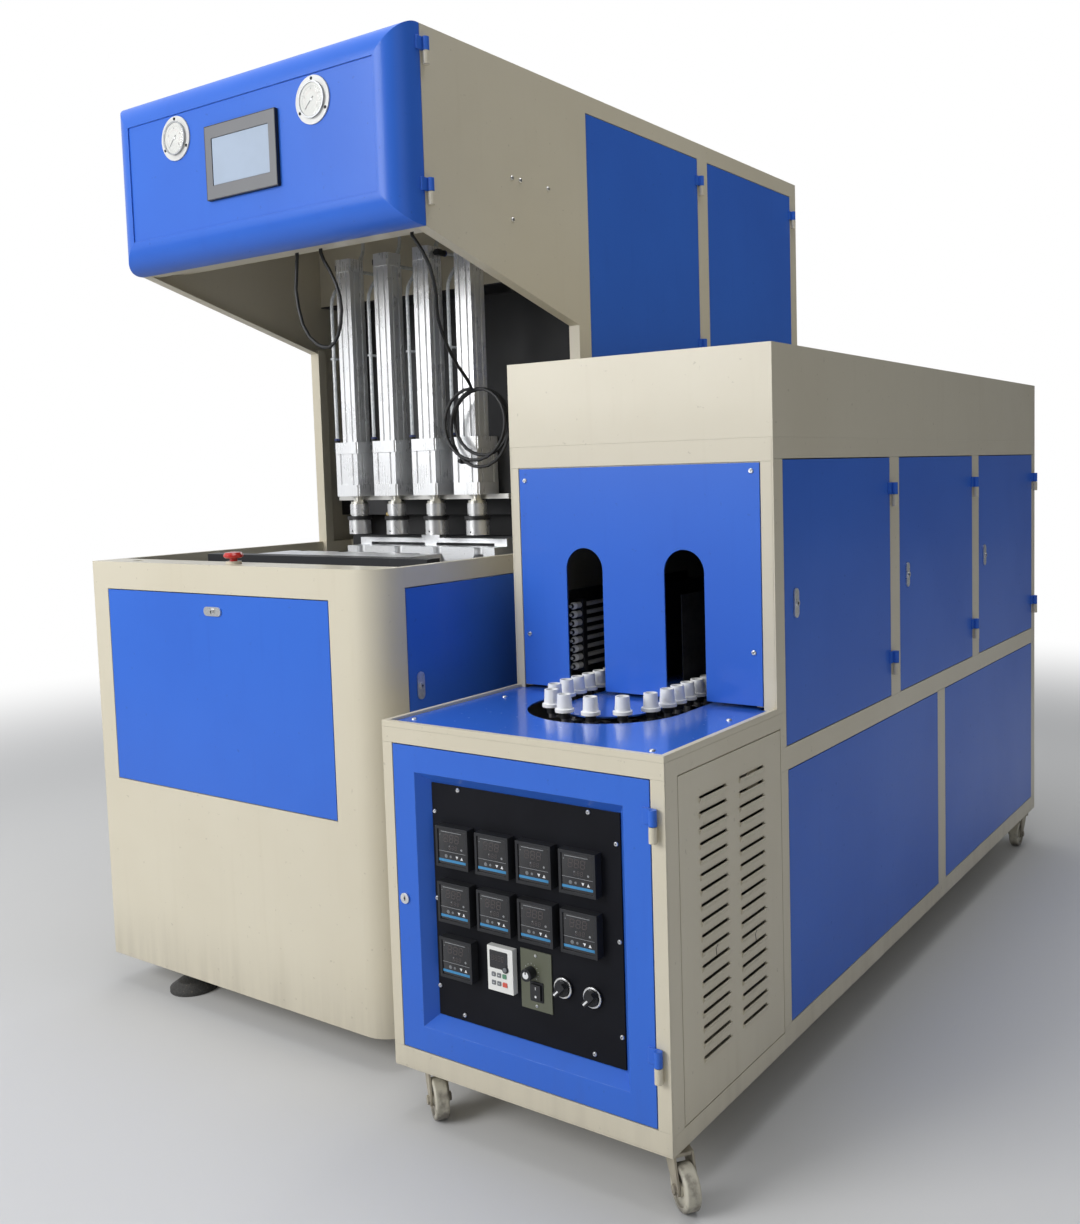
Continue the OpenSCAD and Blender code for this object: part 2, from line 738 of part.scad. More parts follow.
module air_cylinders() {
    color(alloy) at_unit() {
        for (i = [0 : cavities - 1]) translate([cav_x(i), nozzle_y, bench_top]) cylinder_pair();
        // Clamping cylinder on the back of the fixed platen
        difference() {
            block(unit_w / 2 - 80, unit_w / 2 + 80, platen_back, clamp_end, tie_mid - 80, tie_mid + 80);
            for (s = [-1, 1]) block(unit_w / 2 + s * 80 - 6, unit_w / 2 + s * 80 + 6,
                platen_back + 34, clamp_end - 34, tie_mid - 81, tie_mid + 81);
            bar_y(unit_w / 2, platen_back + 16, clamp_end - 30, tie_mid, clamp_bore);
            bar_y(unit_w / 2, clamp_end - 31, clamp_end + 1, tie_mid, tie_d + 2 * running);
        }
    }
}

// Elbow whose stub points to +X, with its mouth upward
module elbow(length) {
    bar_x(-1, length, 0, 0, 11);
    translate([-7, -7, -7]) cube([14, 14, 14]);
    translate([0, 0, 6]) cylinder(d = 15, h = 16);
}
module air_fittings() {
    color(black) at_unit() for (i = [0 : cavities - 1]) {
        for (p = seal_ports) {
            translate([cav_x(i) - tube_x, p[0], p[1]]) elbow(tube_x - seal_w / 2);
        }
        translate([cav_x(i) + top_side(i) * top_tube_x, nozzle_y, top_port_z]) {
            rotate([-90, top_side(i) > 0 ? 180 : 0, 0]) elbow(top_tube_x - (slim_w + 3) / 2);
        }
    }
}

// Air tube that rises from a fitting and bends back to the manifold
module air_tube(x, y, z) {
    back = manifold_y - y;
    rise = 170;
    foot = manifold_z - 20 - rise;
    bend = [for (t = [0 : 0.1 : 1]) [x, y + back * (1 - cos(180 * t)) / 2, foot + rise * t]];
    cord(concat([[x, y, z]], bend, [[x, manifold_y, manifold_z]]), tube_d, [1, 0, 0]);
}
module air_tubes() {
    color(white) at_unit() for (i = [0 : cavities - 1]) {
        for (p = seal_ports) air_tube(cav_x(i) - tube_x, p[0], p[1] + 22);
        bar_y(cav_x(i) + top_side(i) * top_tube_x, nozzle_y + 22, back_panel_y, top_port_z, tube_d);
        block(cav_x(i) - tube_x - 6, cav_x(i) - tube_x + 6, seal_ports[0][0] - 6, seal_ports[1][0] + 6,
            band_z, band_z + 5);
    }
}

// Moulds: half a bottle cut into each face, the neck upward
module bottle_void(y) {
    for (i = [0 : cavities - 1]) translate([cav_x(i), y, mould_z]) rotate_extrude() polygon([
        [0, 1], [neck_d / 2, 1], [neck_d / 2, -18], [bottle_d / 2, -18 - bottle_d / 2],
        [bottle_d / 2, -10 - bottle_h], [bottle_d / 2 - 8, -18 - bottle_h], [0, -18 - bottle_h]]);
}
module front_mould() {
    color(alloy) at_unit() {
        difference() {
            block(mould_x0, mould_x0 + mould_w, open_face - mould_d, open_face, mould_z - mould_h, mould_z);
            bottle_void(open_face);
        }
        for (x = [mould_x0 + 14, mould_x0 + mould_w - 14], z = [mould_z - 40, mould_z - mould_h + 40]) {
            bar_y(x, open_face - 1, open_face + 24, z, 14);
        }
    }
}
module rear_mould() {
    color(alloy) at_unit() {
        difference() {
            block(mould_x0, mould_x0 + mould_w, nozzle_y, nozzle_y + mould_d, mould_z - mould_h, mould_z);
            bottle_void(nozzle_y);
            for (x = [mould_x0 + 14, mould_x0 + mould_w - 14], z = [mould_z - 40, mould_z - mould_h + 40]) {
                bar_y(x, nozzle_y - 1, nozzle_y + 28, z, 14 + 2 * clear_gap);
            }
        }
        for (x = [mould_x0, unit_w / 2 - 20, mould_x0 + mould_w - 40]) {
            block(x, x + 40, nozzle_y + 50, nozzle_y + 75, mould_z, mould_z + 8);
        }
        block(mould_x0, mould_x0 + mould_w, nozzle_y + 50, nozzle_y + 75, mould_z + 7, mould_z + 19);
        block(unit_w / 2 - 31, unit_w / 2 + 31, nozzle_y + 50, nozzle_y + 75, mould_z + 18, mould_z + 27);
    }
}

// Clamp: the fixed platen, and the moving platen that four tie bars join to the rear crosshead
module fixed_platen() {
    color(black) at_unit() difference() {
        union() {
            block(platen_x[0], platen_x[1], platen_back - platen_t, platen_back, platen_low, mould_z + 20);
            for (x = [tie_x0, unit_w - tie_x0], z = tie_z) {
                bar_y(x, platen_back - 1, platen_back + 26, z, tie_d + 26);
            }
        }
        for (x = [tie_x0, unit_w - tie_x0], z = tie_z) {
            bar_y(x, platen_back - platen_t - 1, platen_back + 27, z, tie_d + 2 * running);
        }
    }
}
module moving_platen() {
    y1 = open_face - mould_d;
    color(black) at_unit() difference() {
        block(platen_x[0], platen_x[1], y1 - platen_t, y1, platen_low + 0.5, mould_z + 2);
        for (x = [tie_x0, unit_w - tie_x0], z = tie_z) bar_y(x, y1 - platen_t - 1, y1 - platen_t + 14, z, 34);
    }
}
module tie_bars() {
    color(steel) at_unit() {
        for (x = [tie_x0, unit_w - tie_x0], z = tie_z) {
            bar_y(x, open_face - mould_d, clamp_end + 9, z, tie_d);
            bar_y(x, open_face - mould_d, open_face - mould_d + 14, z, tie_d + 24);
        }
        block(tie_x0 - 40, unit_w - tie_x0 + 40, clamp_end + 8, clamp_end + 44, tie_z[0] - 40, tie_z[1] + 40);
        bar_y(unit_w / 2, platen_back + 40, clamp_end + 9, tie_mid, tie_d);
        bar_y(unit_w / 2, platen_back + 22, platen_back + 46, tie_mid, clamp_bore - 2 * running);
    }
}

// Rods and nozzles of the cylinders
module stretch_rods() {
    base = bench_top + seal_h;
    color(steel) at_unit() for (i = [0 : cavities - 1]) translate([cav_x(i), nozzle_y, 0]) {
        translate([0, 0, nozzle_z + 4]) cylinder(d = rod_d - 1, h = base + slim_h - nozzle_z - 40);
        translate([0, 0, base + slim_h - 36]) cylinder(d = slim_bore - 2 * running, h = 18);
    }
}
module blow_nozzles() {
    color(steel) at_unit() for (i = [0 : cavities - 1]) translate([cav_x(i), nozzle_y, nozzle_z]) {
        difference() {
            union() {
                cylinder(d = nozzle_d, h = 36);
                translate([0, 0, 35]) cylinder(d = nozzle_d - 14, h = 50);
                translate([0, 0, 38]) cylinder(d = nozzle_d + 7, h = 9);
                translate([0, 0, 51]) cylinder(d = nozzle_d - 9, h = 28);
                translate([0, 0, 79]) cylinder(d = 30, h = 11, $fn = 6);
                cylinder(d = piston_rod_d, h = bench_top - nozzle_z + 108);
                translate([0, 0, bench_top - nozzle_z + 92]) cylinder(d = seal_bore - 2 * running, h = 16);
            }
            translate([0, 0, -1]) cylinder(d = rod_d + 2 * running, h = bench_top - nozzle_z + 120);
            translate([0, 0, 8]) rotate([90, 0, 0]) cylinder(d = 5, h = nozzle_d);
        }
    }
}

// Free cables: a round tube through points chosen along its way
module cord(points, d, side) {
    n = len(points);
    k = 10;
    rings = [for (i = [0 : n - 1]) let (
        t = points[min(i + 1, n - 1)] - points[max(i - 1, 0)],
        u = cross(t, side) / norm(cross(t, side)),
        v = cross(u, t) / norm(t))
        for (j = [0 : k - 1]) points[i] + d / 2 * (cos(360 * j / k) * u + sin(360 * j / k) * v)];
    faces = [
        [for (j = [0 : k - 1]) k - 1 - j],
        for (i = [0 : k : (n - 2) * k], j = [0 : k - 1]) let (m = (j + 1) % k)
            [i + j, i + m, i + k + m, i + k + j],
        [for (j = [0 : k - 1]) (n - 1) * k + j]];
    polyhedron(points = rings, faces = faces, convexity = 6);
}
module cable_loop() {
    color(black) at_unit() cord(loop_points, cable_d, [0, 1, 0]);
}
module cable_drop() {
    color(black) at_unit() cord(drop_points, cable_d, [1, 0, 0]);
}
module cable_coil() {
    color(black) at_unit() translate(coil_centre) {
        rotate([90, 0, 0]) for (t = coil_turns) rotate_extrude() {
            translate([coil_r + t[0], t[1]]) circle(d = cable_d);
        }
        // Plug that the cable ends in, on the last sealing cylinder
        bar_y(-58, 1, nozzle_y - seal_w / 2 + 2 - coil_centre[1], -75, 15);
    }
}

// Hinged cover at the front of the head, with the touch screen and two gauges
module cover_form(o) {
    y0 = head_y - cover_d;
    y1 = head_y - 1;
    r = cover_r - o;
    z0 = slant_high_z;
    h = unit_h - z0;
    intersection() {
        block(0, unit_w, y0, y1 + o, z0, unit_h);
        side_plate(o, unit_w - o) {
            translate([y0 + cover_r, z0 + o]) square([cover_d - cover_r - 1 + o, h - 2 * o]);
            translate([y0 + o, z0 + cover_r]) square([cover_r, h - 2 * cover_r]);
            for (z = [z0 + cover_r, unit_h - cover_r]) translate([y0 + cover_r, z]) circle(r);
        }
        translate([0, 0, z0]) linear_extrude(h) {
            translate([o, y0 + cover_r]) square([unit_w - 2 * o, cover_d - cover_r - 1 + o]);
            translate([cover_r, y0 + o]) square([unit_w - 2 * cover_r, cover_r]);
            for (x = [cover_r, unit_w - cover_r]) translate([x, y0 + cover_r]) circle(r);
        }
    }
}
module head_cover() {
    y0 = head_y - cover_d;
    m = emboss_margin;
    color(blue) at_unit() {
        difference() {
            union() {
                difference() {
                    cover_form(0);
                    cover_form(sheet);
                }
                block(m - 4, unit_w - m + 4, y0 + 1, y0 + 6, slant_high_z + m - 4, unit_h - m + 4);
            }
            block(m, unit_w - m, y0 - 1, y0 + 3, slant_high_z + m, unit_h - m);
            block(unit_w / 2 - screen_w / 2 + 8, unit_w / 2 + screen_w / 2 - 8, y0 - 1, y0 + 10,
                slant_high_z + screen_z - screen_h / 2 + 8, slant_high_z + screen_z + screen_h / 2 - 8);
            for (s = [-1, 1]) {
                bar_y(unit_w / 2 + s * gauge_x, y0 - 1, y0 + 10, slant_high_z + gauge_z, gauge_d - 28);
            }
        }
        for (z = cover_hinge_z) translate([unit_w + knuckle_out, cover_hinge_y, 0]) door_knuckle(z);
    }
}
module touch_screen() {
    y0 = head_y - cover_d + 3;
    x0 = (unit_w - screen_w) / 2;
    x1 = (unit_w + screen_w) / 2;
    z = slant_high_z + screen_z;
    color(black) at_unit() difference() {
        union() {
            block(x0, x1, y0 - 9, y0, z - screen_h / 2, z + screen_h / 2);
            block(x0 + 9, x1 - 9, y0 - 1, y0 + 32, z - screen_h / 2 + 9, z + screen_h / 2 - 9);
        }
        block(x0 + 22, x1 - 22, y0 - 10, y0 - 7, z - screen_h / 2 + 30, z + screen_h / 2 - 28);
    }
}
module pressure_gauges() {
    y0 = head_y - cover_d + 3;
    color(steel) at_unit() for (s = [-1, 1]) {
        translate([unit_w / 2 + s * gauge_x, y0, slant_high_z + gauge_z]) rotate([90, 0, 0]) difference() {
            union() {
                cylinder(d = gauge_d, h = 3);
                cylinder(d = gauge_d - 24, h = 8);
                translate([0, 0, -34]) cylinder(d = gauge_d - 32, h = 35);
                translate([0, 0, -50]) cylinder(d = 14, h = 17);
            }
            translate([0, 0, 5]) cylinder(d = gauge_d - 30, h = 4);
            for (a = [90, 210, 330]) rotate(a) translate([gauge_d / 2 - 6, 0, -1]) cylinder(d = 5, h = 5);
        }
    }
}

// Doors of the head
module head_door(i) {
    y = head_door_y[i];
    color(blue) at_unit() {
        pan_side(unit_w, y, y + head_door_l, head_door_low, head_door_top);
        for (z = head_door_hinge_z) {
            translate([unit_w + knuckle_out, y + head_door_l + hinge_set, 0]) door_knuckle(z);
        }
    }
}
module head_door_front() { head_door(0); }
module head_door_rear() { head_door(1); }

// The halves of all hinges that stay on the cabinets
module frame_hinges() {
    color(cream) {
        at_unit() translate([unit_w + knuckle_out, 0, 0]) {
            for (z = cover_hinge_z) translate([0, cover_hinge_y, 0]) fixed_knuckle(z);
            for (y = head_door_y, z = head_door_hinge_z) translate([0, y + head_door_l + hinge_set, 0]) {
                fixed_knuckle(z);
            }
        }
        at_heater() {
            translate([heater_w + knuckle_out, oven_l + hinge_set, 0]) {
                for (y = oven_door_y, z = oven_hinge_z) translate([0, y, 0]) fixed_knuckle(z);
            }
            for (z = ctrl_hinge_z) translate([ctrl_hinge_x, -knuckle_out, 0]) rotate(-90) fixed_knuckle(z);
        }
    }
}

module stop_button() {
    stem = stop_stem_d / 2;
    color([0.8, 0.05, 0.05]) at_unit() translate([stop_x, stop_y, desk_h]) rotate_extrude() {
        polygon([[0, -24], [stem, -24], [stem, 13], [17, 13], [21, 16], [21, 20], [17, 25], [0, 27]]);
    }
}

// Locks
module front_lock() {
    color(steel) at_unit() translate([front_lock_x, 0, front_lock_z]) rotate([0, 0, -90]) rotate([90, 0, 0]) {
        oval_lock(49);
    }
}
module side_lock() {
    color(steel) at_unit() translate([unit_w, side_lock_y, side_lock_z]) oval_lock(45);
}
module oven_lock(i) {
    color(steel) at_heater() translate([heater_w, oven_door_y[i] + 46, oven_lock_z]) oval_lock(59);
}
module oven_lock_1() { oven_lock(0); }
module oven_lock_2() { oven_lock(1); }
module oven_lock_3() { oven_lock(2); }
module control_lock() {
    color(steel) at_heater() translate([ctrl_lock[0], 0, ctrl_lock[1]]) {
        difference() {
            bar_y(0, -3, -0.3, 0, 20);
            block(-1, 1, -4, -1, -5, 5);
        }
        bar_y(0, -0.4, cam_depth + cam_t, 0, lock_shaft_d);
        block(-7, 7, cam_depth, cam_depth + cam_t, -7, 32);
    }
}

// Heater cabinet: the table in front, the oven tower behind it. Its walls, rails and posts are folded
// panels that meet at hairline seams.
// Strips round an opening in a side wall, and in a front wall; each pair gives the low and high edge
module ring_side(x, y, z, oy, oz) {
    block(x[0], x[1], y[0], y[1], z[0], oz[0]);
    block(x[0], x[1], y[0], y[1], oz[1], z[1]);
    block(x[0], x[1], y[0], oy[0], oz[0] + seam, oz[1] - seam);
    block(x[0], x[1], oy[1], y[1], oz[0] + seam, oz[1] - seam);
}
module ring_front(x, y, z, ox, oz) {
    block(x[0], x[1], y[0], y[1], z[0], oz[0]);
    block(x[0], x[1], y[0], y[1], oz[1], z[1]);
    block(x[0], ox[0], y[0], y[1], oz[0] + seam, oz[1] - seam);
    block(ox[1], x[1], y[0], y[1], oz[0] + seam, oz[1] - seam);
}
module ring_flat(x, y, z, w) {
    block(x[0], x[1], y[0], y[0] + w, z[0], z[1]);
    block(x[0], x[1], y[1] - w, y[1], z[0], z[1]);
    block(x[0], x[0] + w, y[0] + w + seam, y[1] - w - seam, z[0], z[1]);
    block(x[1] - w, x[1], y[0] + w + seam, y[1] - w - seam, z[0], z[1]);
}

// Low and high edges of the openings, for the panels and doors that lie in them
function wider(p, o) = [p[0] - o, p[1] + o];
ctrl_open = [wider([ctrl_x, ctrl_x + ctrl_w], reveal), wider([ctrl_low, ctrl_top], reveal)];
oven_open_y = [for (y = oven_door_y) wider([y, y + oven_l], reveal)];
oven_open_z = wider([oven_low, oven_top], reveal);
panel_open_y = [for (p = side_panels) wider(p, reveal)];
panel_open_z = wider([panel_low, panel_top], reveal);
louvre_open_y = wider(louvre_y, reveal);

// Right wall: rails above and below the openings, posts between them
module heater_right_wall() {
    x = [heater_w - sheet, heater_w];
    back = heater_l - sheet - seam;
    louvre_end = louvre_open_y[1];
    block(x[0], x[1], sheet + seam, back, wall_z, louvre_z[0]);
    block(x[0], x[1], louvre_end + seam, back, louvre_z[0] + seam, panel_open_z[0]);
    block(x[0], x[1], louvre_end + seam, back, panel_open_z[1], oven_open_z[0]);
    block(x[0], x[1], tower_y, back, oven_open_z[1], seam_z);
    low_posts = [[louvre_end + seam, panel_open_y[0][0]], [panel_open_y[0][1], panel_open_y[1][0]],
        [panel_open_y[1][1], back]];
    for (p = low_posts) block(x[0], x[1], p[0], p[1], panel_open_z[0] + seam, panel_open_z[1] - seam);
    high_posts = [[oven_open_y[0][1], oven_open_y[1][0]], [oven_open_y[1][1], oven_open_y[2][0]],
        [oven_open_y[2][1], back]];
    for (p = high_posts) block(x[0], x[1], p[0], p[1], oven_open_z[0] + seam, oven_open_z[1] - seam);
    // Beside the louvre panel, above it, and the tower's front post
    block(x[0], x[1], sheet + seam, louvre_open_y[0], louvre_z[0] + seam, rim_low - seam);
    block(x[0], x[1], louvre_open_y[0] + seam, louvre_end, louvre_z[1], rim_low - seam);
    block(x[0], x[1], louvre_end + seam, oven_open_y[0][0], oven_open_z[0] + seam, rim_low - seam);
    block(x[0], x[1], tower_y, oven_open_y[0][0], rim_low, oven_open_z[1] - seam);
}

// Cross tubes that carry the chain, its rails and the middle strip of the table
module heater_beams() {
    for (y = beam_places) difference() {
        block(sheet + seam, heater_w - 2 * sheet - seam, y - 20, y + 20, beam_low, beam_top);
        block(sheet + 4, heater_w - 2 * sheet - 4, y - 16, y + 16, beam_low + 4, beam_top - 4);
        translate([lane_mid, y, beam_low - 4]) cylinder(d = shaft_d + 2 * clear_gap, h = 60);
    }
    for (s = [-1, 1]) {
        x = lane_mid + s * sprocket_r;
        block(x - 8, x + 8, sprocket_y + 40, rear_sprocket_y - 40, chain_z - 8, chain_z - seam);
        for (y = rail_places) block(x - 6, x + 6, y - 12, y + 12, beam_top + seam, chain_z - 8 - seam);
    }
    for (x = [50, lane_mid, heater_w - 60], y = rail_places) {
        block(x - 12, x + 12, y - 12, y + 12, beam_top + seam, deck_top - sheet);
    }
}
module heater_frame() {
    inner_x = [sheet + seam, heater_w - sheet - seam];
    inner_y = tower_y + sheet + seam;
    lip = table_rim + 12;
    color(cream) at_heater() {
        // Floor, left wall and back wall
        block(0, heater_w, 0, heater_l, heater_clear, heater_clear + sheet);
        block(0, sheet, sheet + seam, heater_l - sheet - seam, wall_z, rim_low - seam);
        block(0, sheet, tower_y, heater_l - sheet - seam, rim_low, seam_z);
        block(0, heater_w, heater_l - sheet, heater_l, wall_z, seam_z);
        heater_right_wall();
        // Front wall, and the fold behind the control door
        ring_front([0, heater_w], [0, sheet], [wall_z, rim_low - seam], ctrl_open[0], ctrl_open[1]);
        ring_front(wider(ctrl_open[0], sheet), [sheet + seam, fold], wider(ctrl_open[1], sheet),
            ctrl_open[0], ctrl_open[1]);
        // Rim round the table, and the ledge that the table lies on
        block(0, heater_w, 0, table_rim, rim_low, table_z);
        for (x = [0, heater_w - table_rim]) {
            block(x, x + table_rim, table_rim + seam, tower_y - seam, rim_low, table_z);
        }
        block(table_rim + seam, heater_w - table_rim - seam, table_rim + seam, lip, rim_low, rim_low + sheet);
        for (x = [table_rim + seam, heater_w - lip]) {
            block(x, x + 12 - seam, lip + seam, tower_y + 12, rim_low, rim_low + sheet);
        }
        // Front of the tower, with the landing behind its panel
        for (x = [[inner_x[0], front_panel[0] - reveal], [front_panel[1] + reveal, inner_x[1]]]) {
            block(x[0], x[1], tower_y, tower_y + sheet, rim_low + sheet + seam, oven_top - 2 - seam);
        }
        block(inner_x[0], inner_x[1], tower_y, tower_y + sheet, oven_top - 2, seam_z);
        for (x = [front_panel[0] - 12, front_panel[1] - 14]) {
            block(x, x + 26, inner_y, tower_y + 2 * sheet, table_z, oven_top - 20 - seam);
        }
        block(front_panel[0] - 12, front_panel[1] + 12, inner_y, tower_y + 2 * sheet,
            oven_top - 20, oven_top + 6);
        // Flange under the hood
        ring_flat(inner_x, [inner_y, heater_l - sheet - seam], [seam_z - sheet, seam_z], 22 - sheet);
        // Folds behind the oven doors, landings behind the screwed panels
        for (y = oven_open_y) {
            ring_side([heater_w - fold, inner_x[1]],
                wider(y, sheet), wider(oven_open_z, sheet), y, oven_open_z);
        }
        for (p = concat([for (y = panel_open_y) [y, panel_open_z]], [[louvre_open_y, louvre_z]])) {
            ring_side([heater_w - 2 * sheet, inner_x[1]], wider(p[0], 10), wider(p[1], 10),
                wider(p[0], -16), wider(p[1], -16));
        }
        heater_beams();
    }
}

module oven_hood() {
    color(cream) at_heater() difference() {
        block(0, heater_w, tower_y, heater_l, seam_z, hood_z);
        block(sheet, heater_w - sheet, tower_y + sheet, heater_l - sheet, seam_z + sheet, hood_z - sheet);
        block(22, heater_w - 22, tower_y + 22, heater_l - 22, seam_z - 1, seam_z + 5);
    }
}

module oven_panels() {
    color(blue) at_heater() {
        difference() {
            block(front_panel[0], front_panel[1], tower_y, tower_y + sheet, table_z + 2, oven_top - 4);
            for (x = lane_x) {
                block(x - arch_r, x + arch_r, tower_y - 1, tower_y + 4, table_z, arch_top - arch_r);
                bar_y(x, tower_y - 1, tower_y + 4, arch_top - arch_r, 2 * arch_r);
            }
        }
        for (p = side_panels) block(heater_w - sheet, heater_w, p[0], p[1], panel_low, panel_top);
    }
}

// Table round the track, and the strip inside the track that runs back through the oven
module stadium(r) {
    for (y = [sprocket_y, rear_sprocket_y]) translate([lane_mid, y]) circle(r, $fn = 96);
    translate([lane_mid - r, sprocket_y]) square([2 * r, rear_sprocket_y - sprocket_y]);
}
module table_plates() {
    rim = table_rim + 0.5;
    color(blue) at_heater() translate([0, 0, deck_top - sheet]) linear_extrude(sheet) {
        difference() {
            union() {
                translate([rim, rim]) square([heater_w - 2 * rim, tower_y - rim]);
                translate([30, tower_y - 1]) square([heater_w - 68, heater_l - tower_y - 12]);
            }
            stadium(lane_gap / 2 + track_out);
        }
        stadium(lane_gap / 2 - track_in);
    }
}

module louvre_panel() {
    y0 = louvre_y[0];
    z0 = ctrl_low - 7;
    color(cream) at_heater() difference() {
        union() {
            block(heater_w - sheet, heater_w, y0, louvre_y[1], z0, ctrl_top);
            for (y = [y0 + 66, y0 + 207], i = [0 : louvres - 1]) louvre(y, 95, z0 + 74 + i * louvre_gap, 0);
        }
        for (y = [y0 + 66, y0 + 207], i = [0 : louvres - 1]) {
            translate([-1.5, 1.5, 0]) louvre(y, 92, z0 + 74 + i * louvre_gap, 3);
        }
    }
}

// One louvre: a scoop in the sheet, open at its top
module louvre(y, length, z, open) {
    translate([heater_w - sheet, y, z]) rotate([-90, 0, 0]) linear_extrude(length) {
        polygon([[0, 0], [sheet, 0], [sheet + 4, -8], [sheet + 4, -10 - open], [0, -10 - open]]);
    }
}

// Lamps beside both lanes, with a reflector behind them and one across the lane
module lamp_bank(x, out, y) {
    lamps_h = (lamps_in_bank - 1) * lamp_pitch;
    lx = x + out * lamp_out;
    difference() {
        block(lx - 9, lx + 9, y, y + 14, lamp_low - 12, lamp_low + lamps_h + 12);
        for (i = [0 : lamps_in_bank - 1]) bar_y(lx, y - 1, y + 15, lamp_low + i * lamp_pitch, lamp_d + 2);
    }
}
module lamp_racks() {
    back = 26;
    lamps_h = (lamps_in_bank - 1) * lamp_pitch;
    color(steel) at_heater() for (y = oven_door_y, s = [-1, 1]) {
        lx = lane_mid + s * (lane_gap / 2 + lamp_out);
        for (e = [zone_in, oven_l - zone_in - 14]) {
            lamp_bank(lane_mid + s * lane_gap / 2, s, y + e);
            block(min(lx + s * 8, lx + s * back), max(lx + s * 8, lx + s * back), y + e, y + e + 14,
                lamp_low - 12, lamp_low + lamps_h + 12);
        }
        block(min(lx + s * back, lx + s * (back - 2)), max(lx + s * back, lx + s * (back - 2)),
            y + zone_in, y + oven_l - zone_in, deck_top, lamp_low + lamps_h + 30);
        // Reflector on the strip between the lanes
        ix = lane_mid + s * (lane_gap / 2 - track_in - 26);
        end = min(y + oven_l - zone_in, rear_sprocket_y + 30);
        block(ix - 1, ix + 1, y + zone_in, end, deck_top, lamp_low + lamps_h + 30);
        block(min(ix, ix - s * 18), max(ix, ix - s * 18), y + zone_in, end, deck_top, deck_top + 2);
    }
}
module lamps() {
    color(white) at_heater() for (y = oven_door_y, s = [-1, 1], i = [0 : lamps_in_bank - 1]) {
        lx = lane_mid + s * (lane_gap / 2 + lamp_out);
        bar_y(lx, y + zone_in - 12, y + oven_l - zone_in + 12, lamp_low + i * lamp_pitch, lamp_d);
        for (e = [zone_in - 16, oven_l - zone_in]) {
            bar_y(lx, y + e, y + e + 16, lamp_low + i * lamp_pitch, lamp_d + 4);
        }
    }
}

// Chain of the preform carriers: links that lie flat, with an arm out to each carrier
function corner(i) =
    i <= run_links ? [sprocket_r, sprocket_y + i * chain_pitch] :
    i <= run_links + teeth / 2 ? [0, rear_sprocket_y] + sprocket_r * turn_at(i - run_links) :
    i <= 2 * run_links + teeth / 2 ?
        [-sprocket_r, rear_sprocket_y - (i - run_links - teeth / 2) * chain_pitch] :
    [0, sprocket_y] - sprocket_r * turn_at(i - 2 * run_links - teeth / 2);
function turn_at(k) = [cos(k * 360 / teeth), sin(k * 360 / teeth)];
module each_link(first, step) {
    count = 2 * run_links + teeth;
    for (i = [first : step : count - 1]) {
        a = corner(i);
        b = corner(i + 1);
        translate([lane_mid + a[0], a[1], 0]) rotate(atan2(b[1] - a[1], b[0] - a[0])) children();
    }
}
module link_plate(w, z, t, reach) {
    translate([0, 0, z]) linear_extrude(t) {
        translate([0, -w / 2]) square([chain_pitch, w]);
        circle(d = w);
        translate([chain_pitch, 0]) circle(d = w);
        if (reach > 0) translate([chain_pitch / 2 - 7, -reach]) square([14, reach]);
    }
}
module inner_link() {
    z = chain_z + 3;
    difference() {
        union() {
            link_plate(13, z, 2.5, 0);
            link_plate(13, z + 14, 2.5, arm);
            for (x = [0, chain_pitch]) translate([x, 0, z]) cylinder(d = bush_d, h = 16.5);
            translate([chain_pitch / 2, -arm, z + 14]) cylinder(d = 14, h = carrier_z - z - 14);
        }
        for (x = [0, chain_pitch]) translate([x, 0, z - 1]) cylinder(d = chain_pin_d + 2 * running, h = 20);
    }
}
module outer_link() {
    link_plate(12, chain_z, 2.5, 0);
    link_plate(12, chain_z + 20, 2.5, arm);
    for (x = [0, chain_pitch]) translate([x, 0, chain_z + 1]) cylinder(d = chain_pin_d, h = 20);
    translate([chain_pitch / 2, -arm, chain_z + 20]) cylinder(d = 14, h = carrier_z - chain_z - 20);
}
module sprocket(y) {
    mid = chain_z + 11.25;
    translate([lane_mid, y, 0]) {
        translate([0, 0, mid - 4]) linear_extrude(8) difference() {
            circle(sprocket_r + 4, $fn = 96);
            for (i = [0 : teeth - 1]) rotate(i * 360 / teeth) {
                translate([sprocket_r, 0]) circle(bush_d / 2 + 0.5);
                translate([sprocket_r + 5, 0]) square([10, bush_d + 5], center = true);
            }
        }
        translate([0, 0, mid - 10]) cylinder(d = 60, h = 20);
        translate([0, 0, beam_top + 0.5]) cylinder(d = 56, h = chain_z - beam_top - 14);
        translate([0, 0, beam_low + 6]) cylinder(d = shaft_d, h = deck_top - sheet - 3 - beam_low - 6);
    }
}
module carrier_chain() {
    color(steel) at_heater() {
        each_link(0, 2) inner_link();
        each_link(1, 2) outer_link();
        sprocket(sprocket_y);
        sprocket(rear_sprocket_y);
        // Gear motor under the rear sprocket
        translate([lane_mid, rear_sprocket_y, beam_low]) {
            translate([-55, -55, -70]) cube([110, 110, 70]);
            translate([0, 0, -250]) cylinder(d = 110, h = 181);
            cylinder(d = shaft_d, h = 10);
        }
    }
}
module preform_carriers() {
    cup = [[0, 0], [10, 0], [10, 12], [18, 12], [18, 18], [14.5, 19], [13, 45], [10, 45], [10, 16], [0, 16]];
    color(white) at_heater() each_link(0, 1) translate([chain_pitch / 2, -arm, carrier_z]) {
        rotate_extrude() polygon(cup);
    }
}

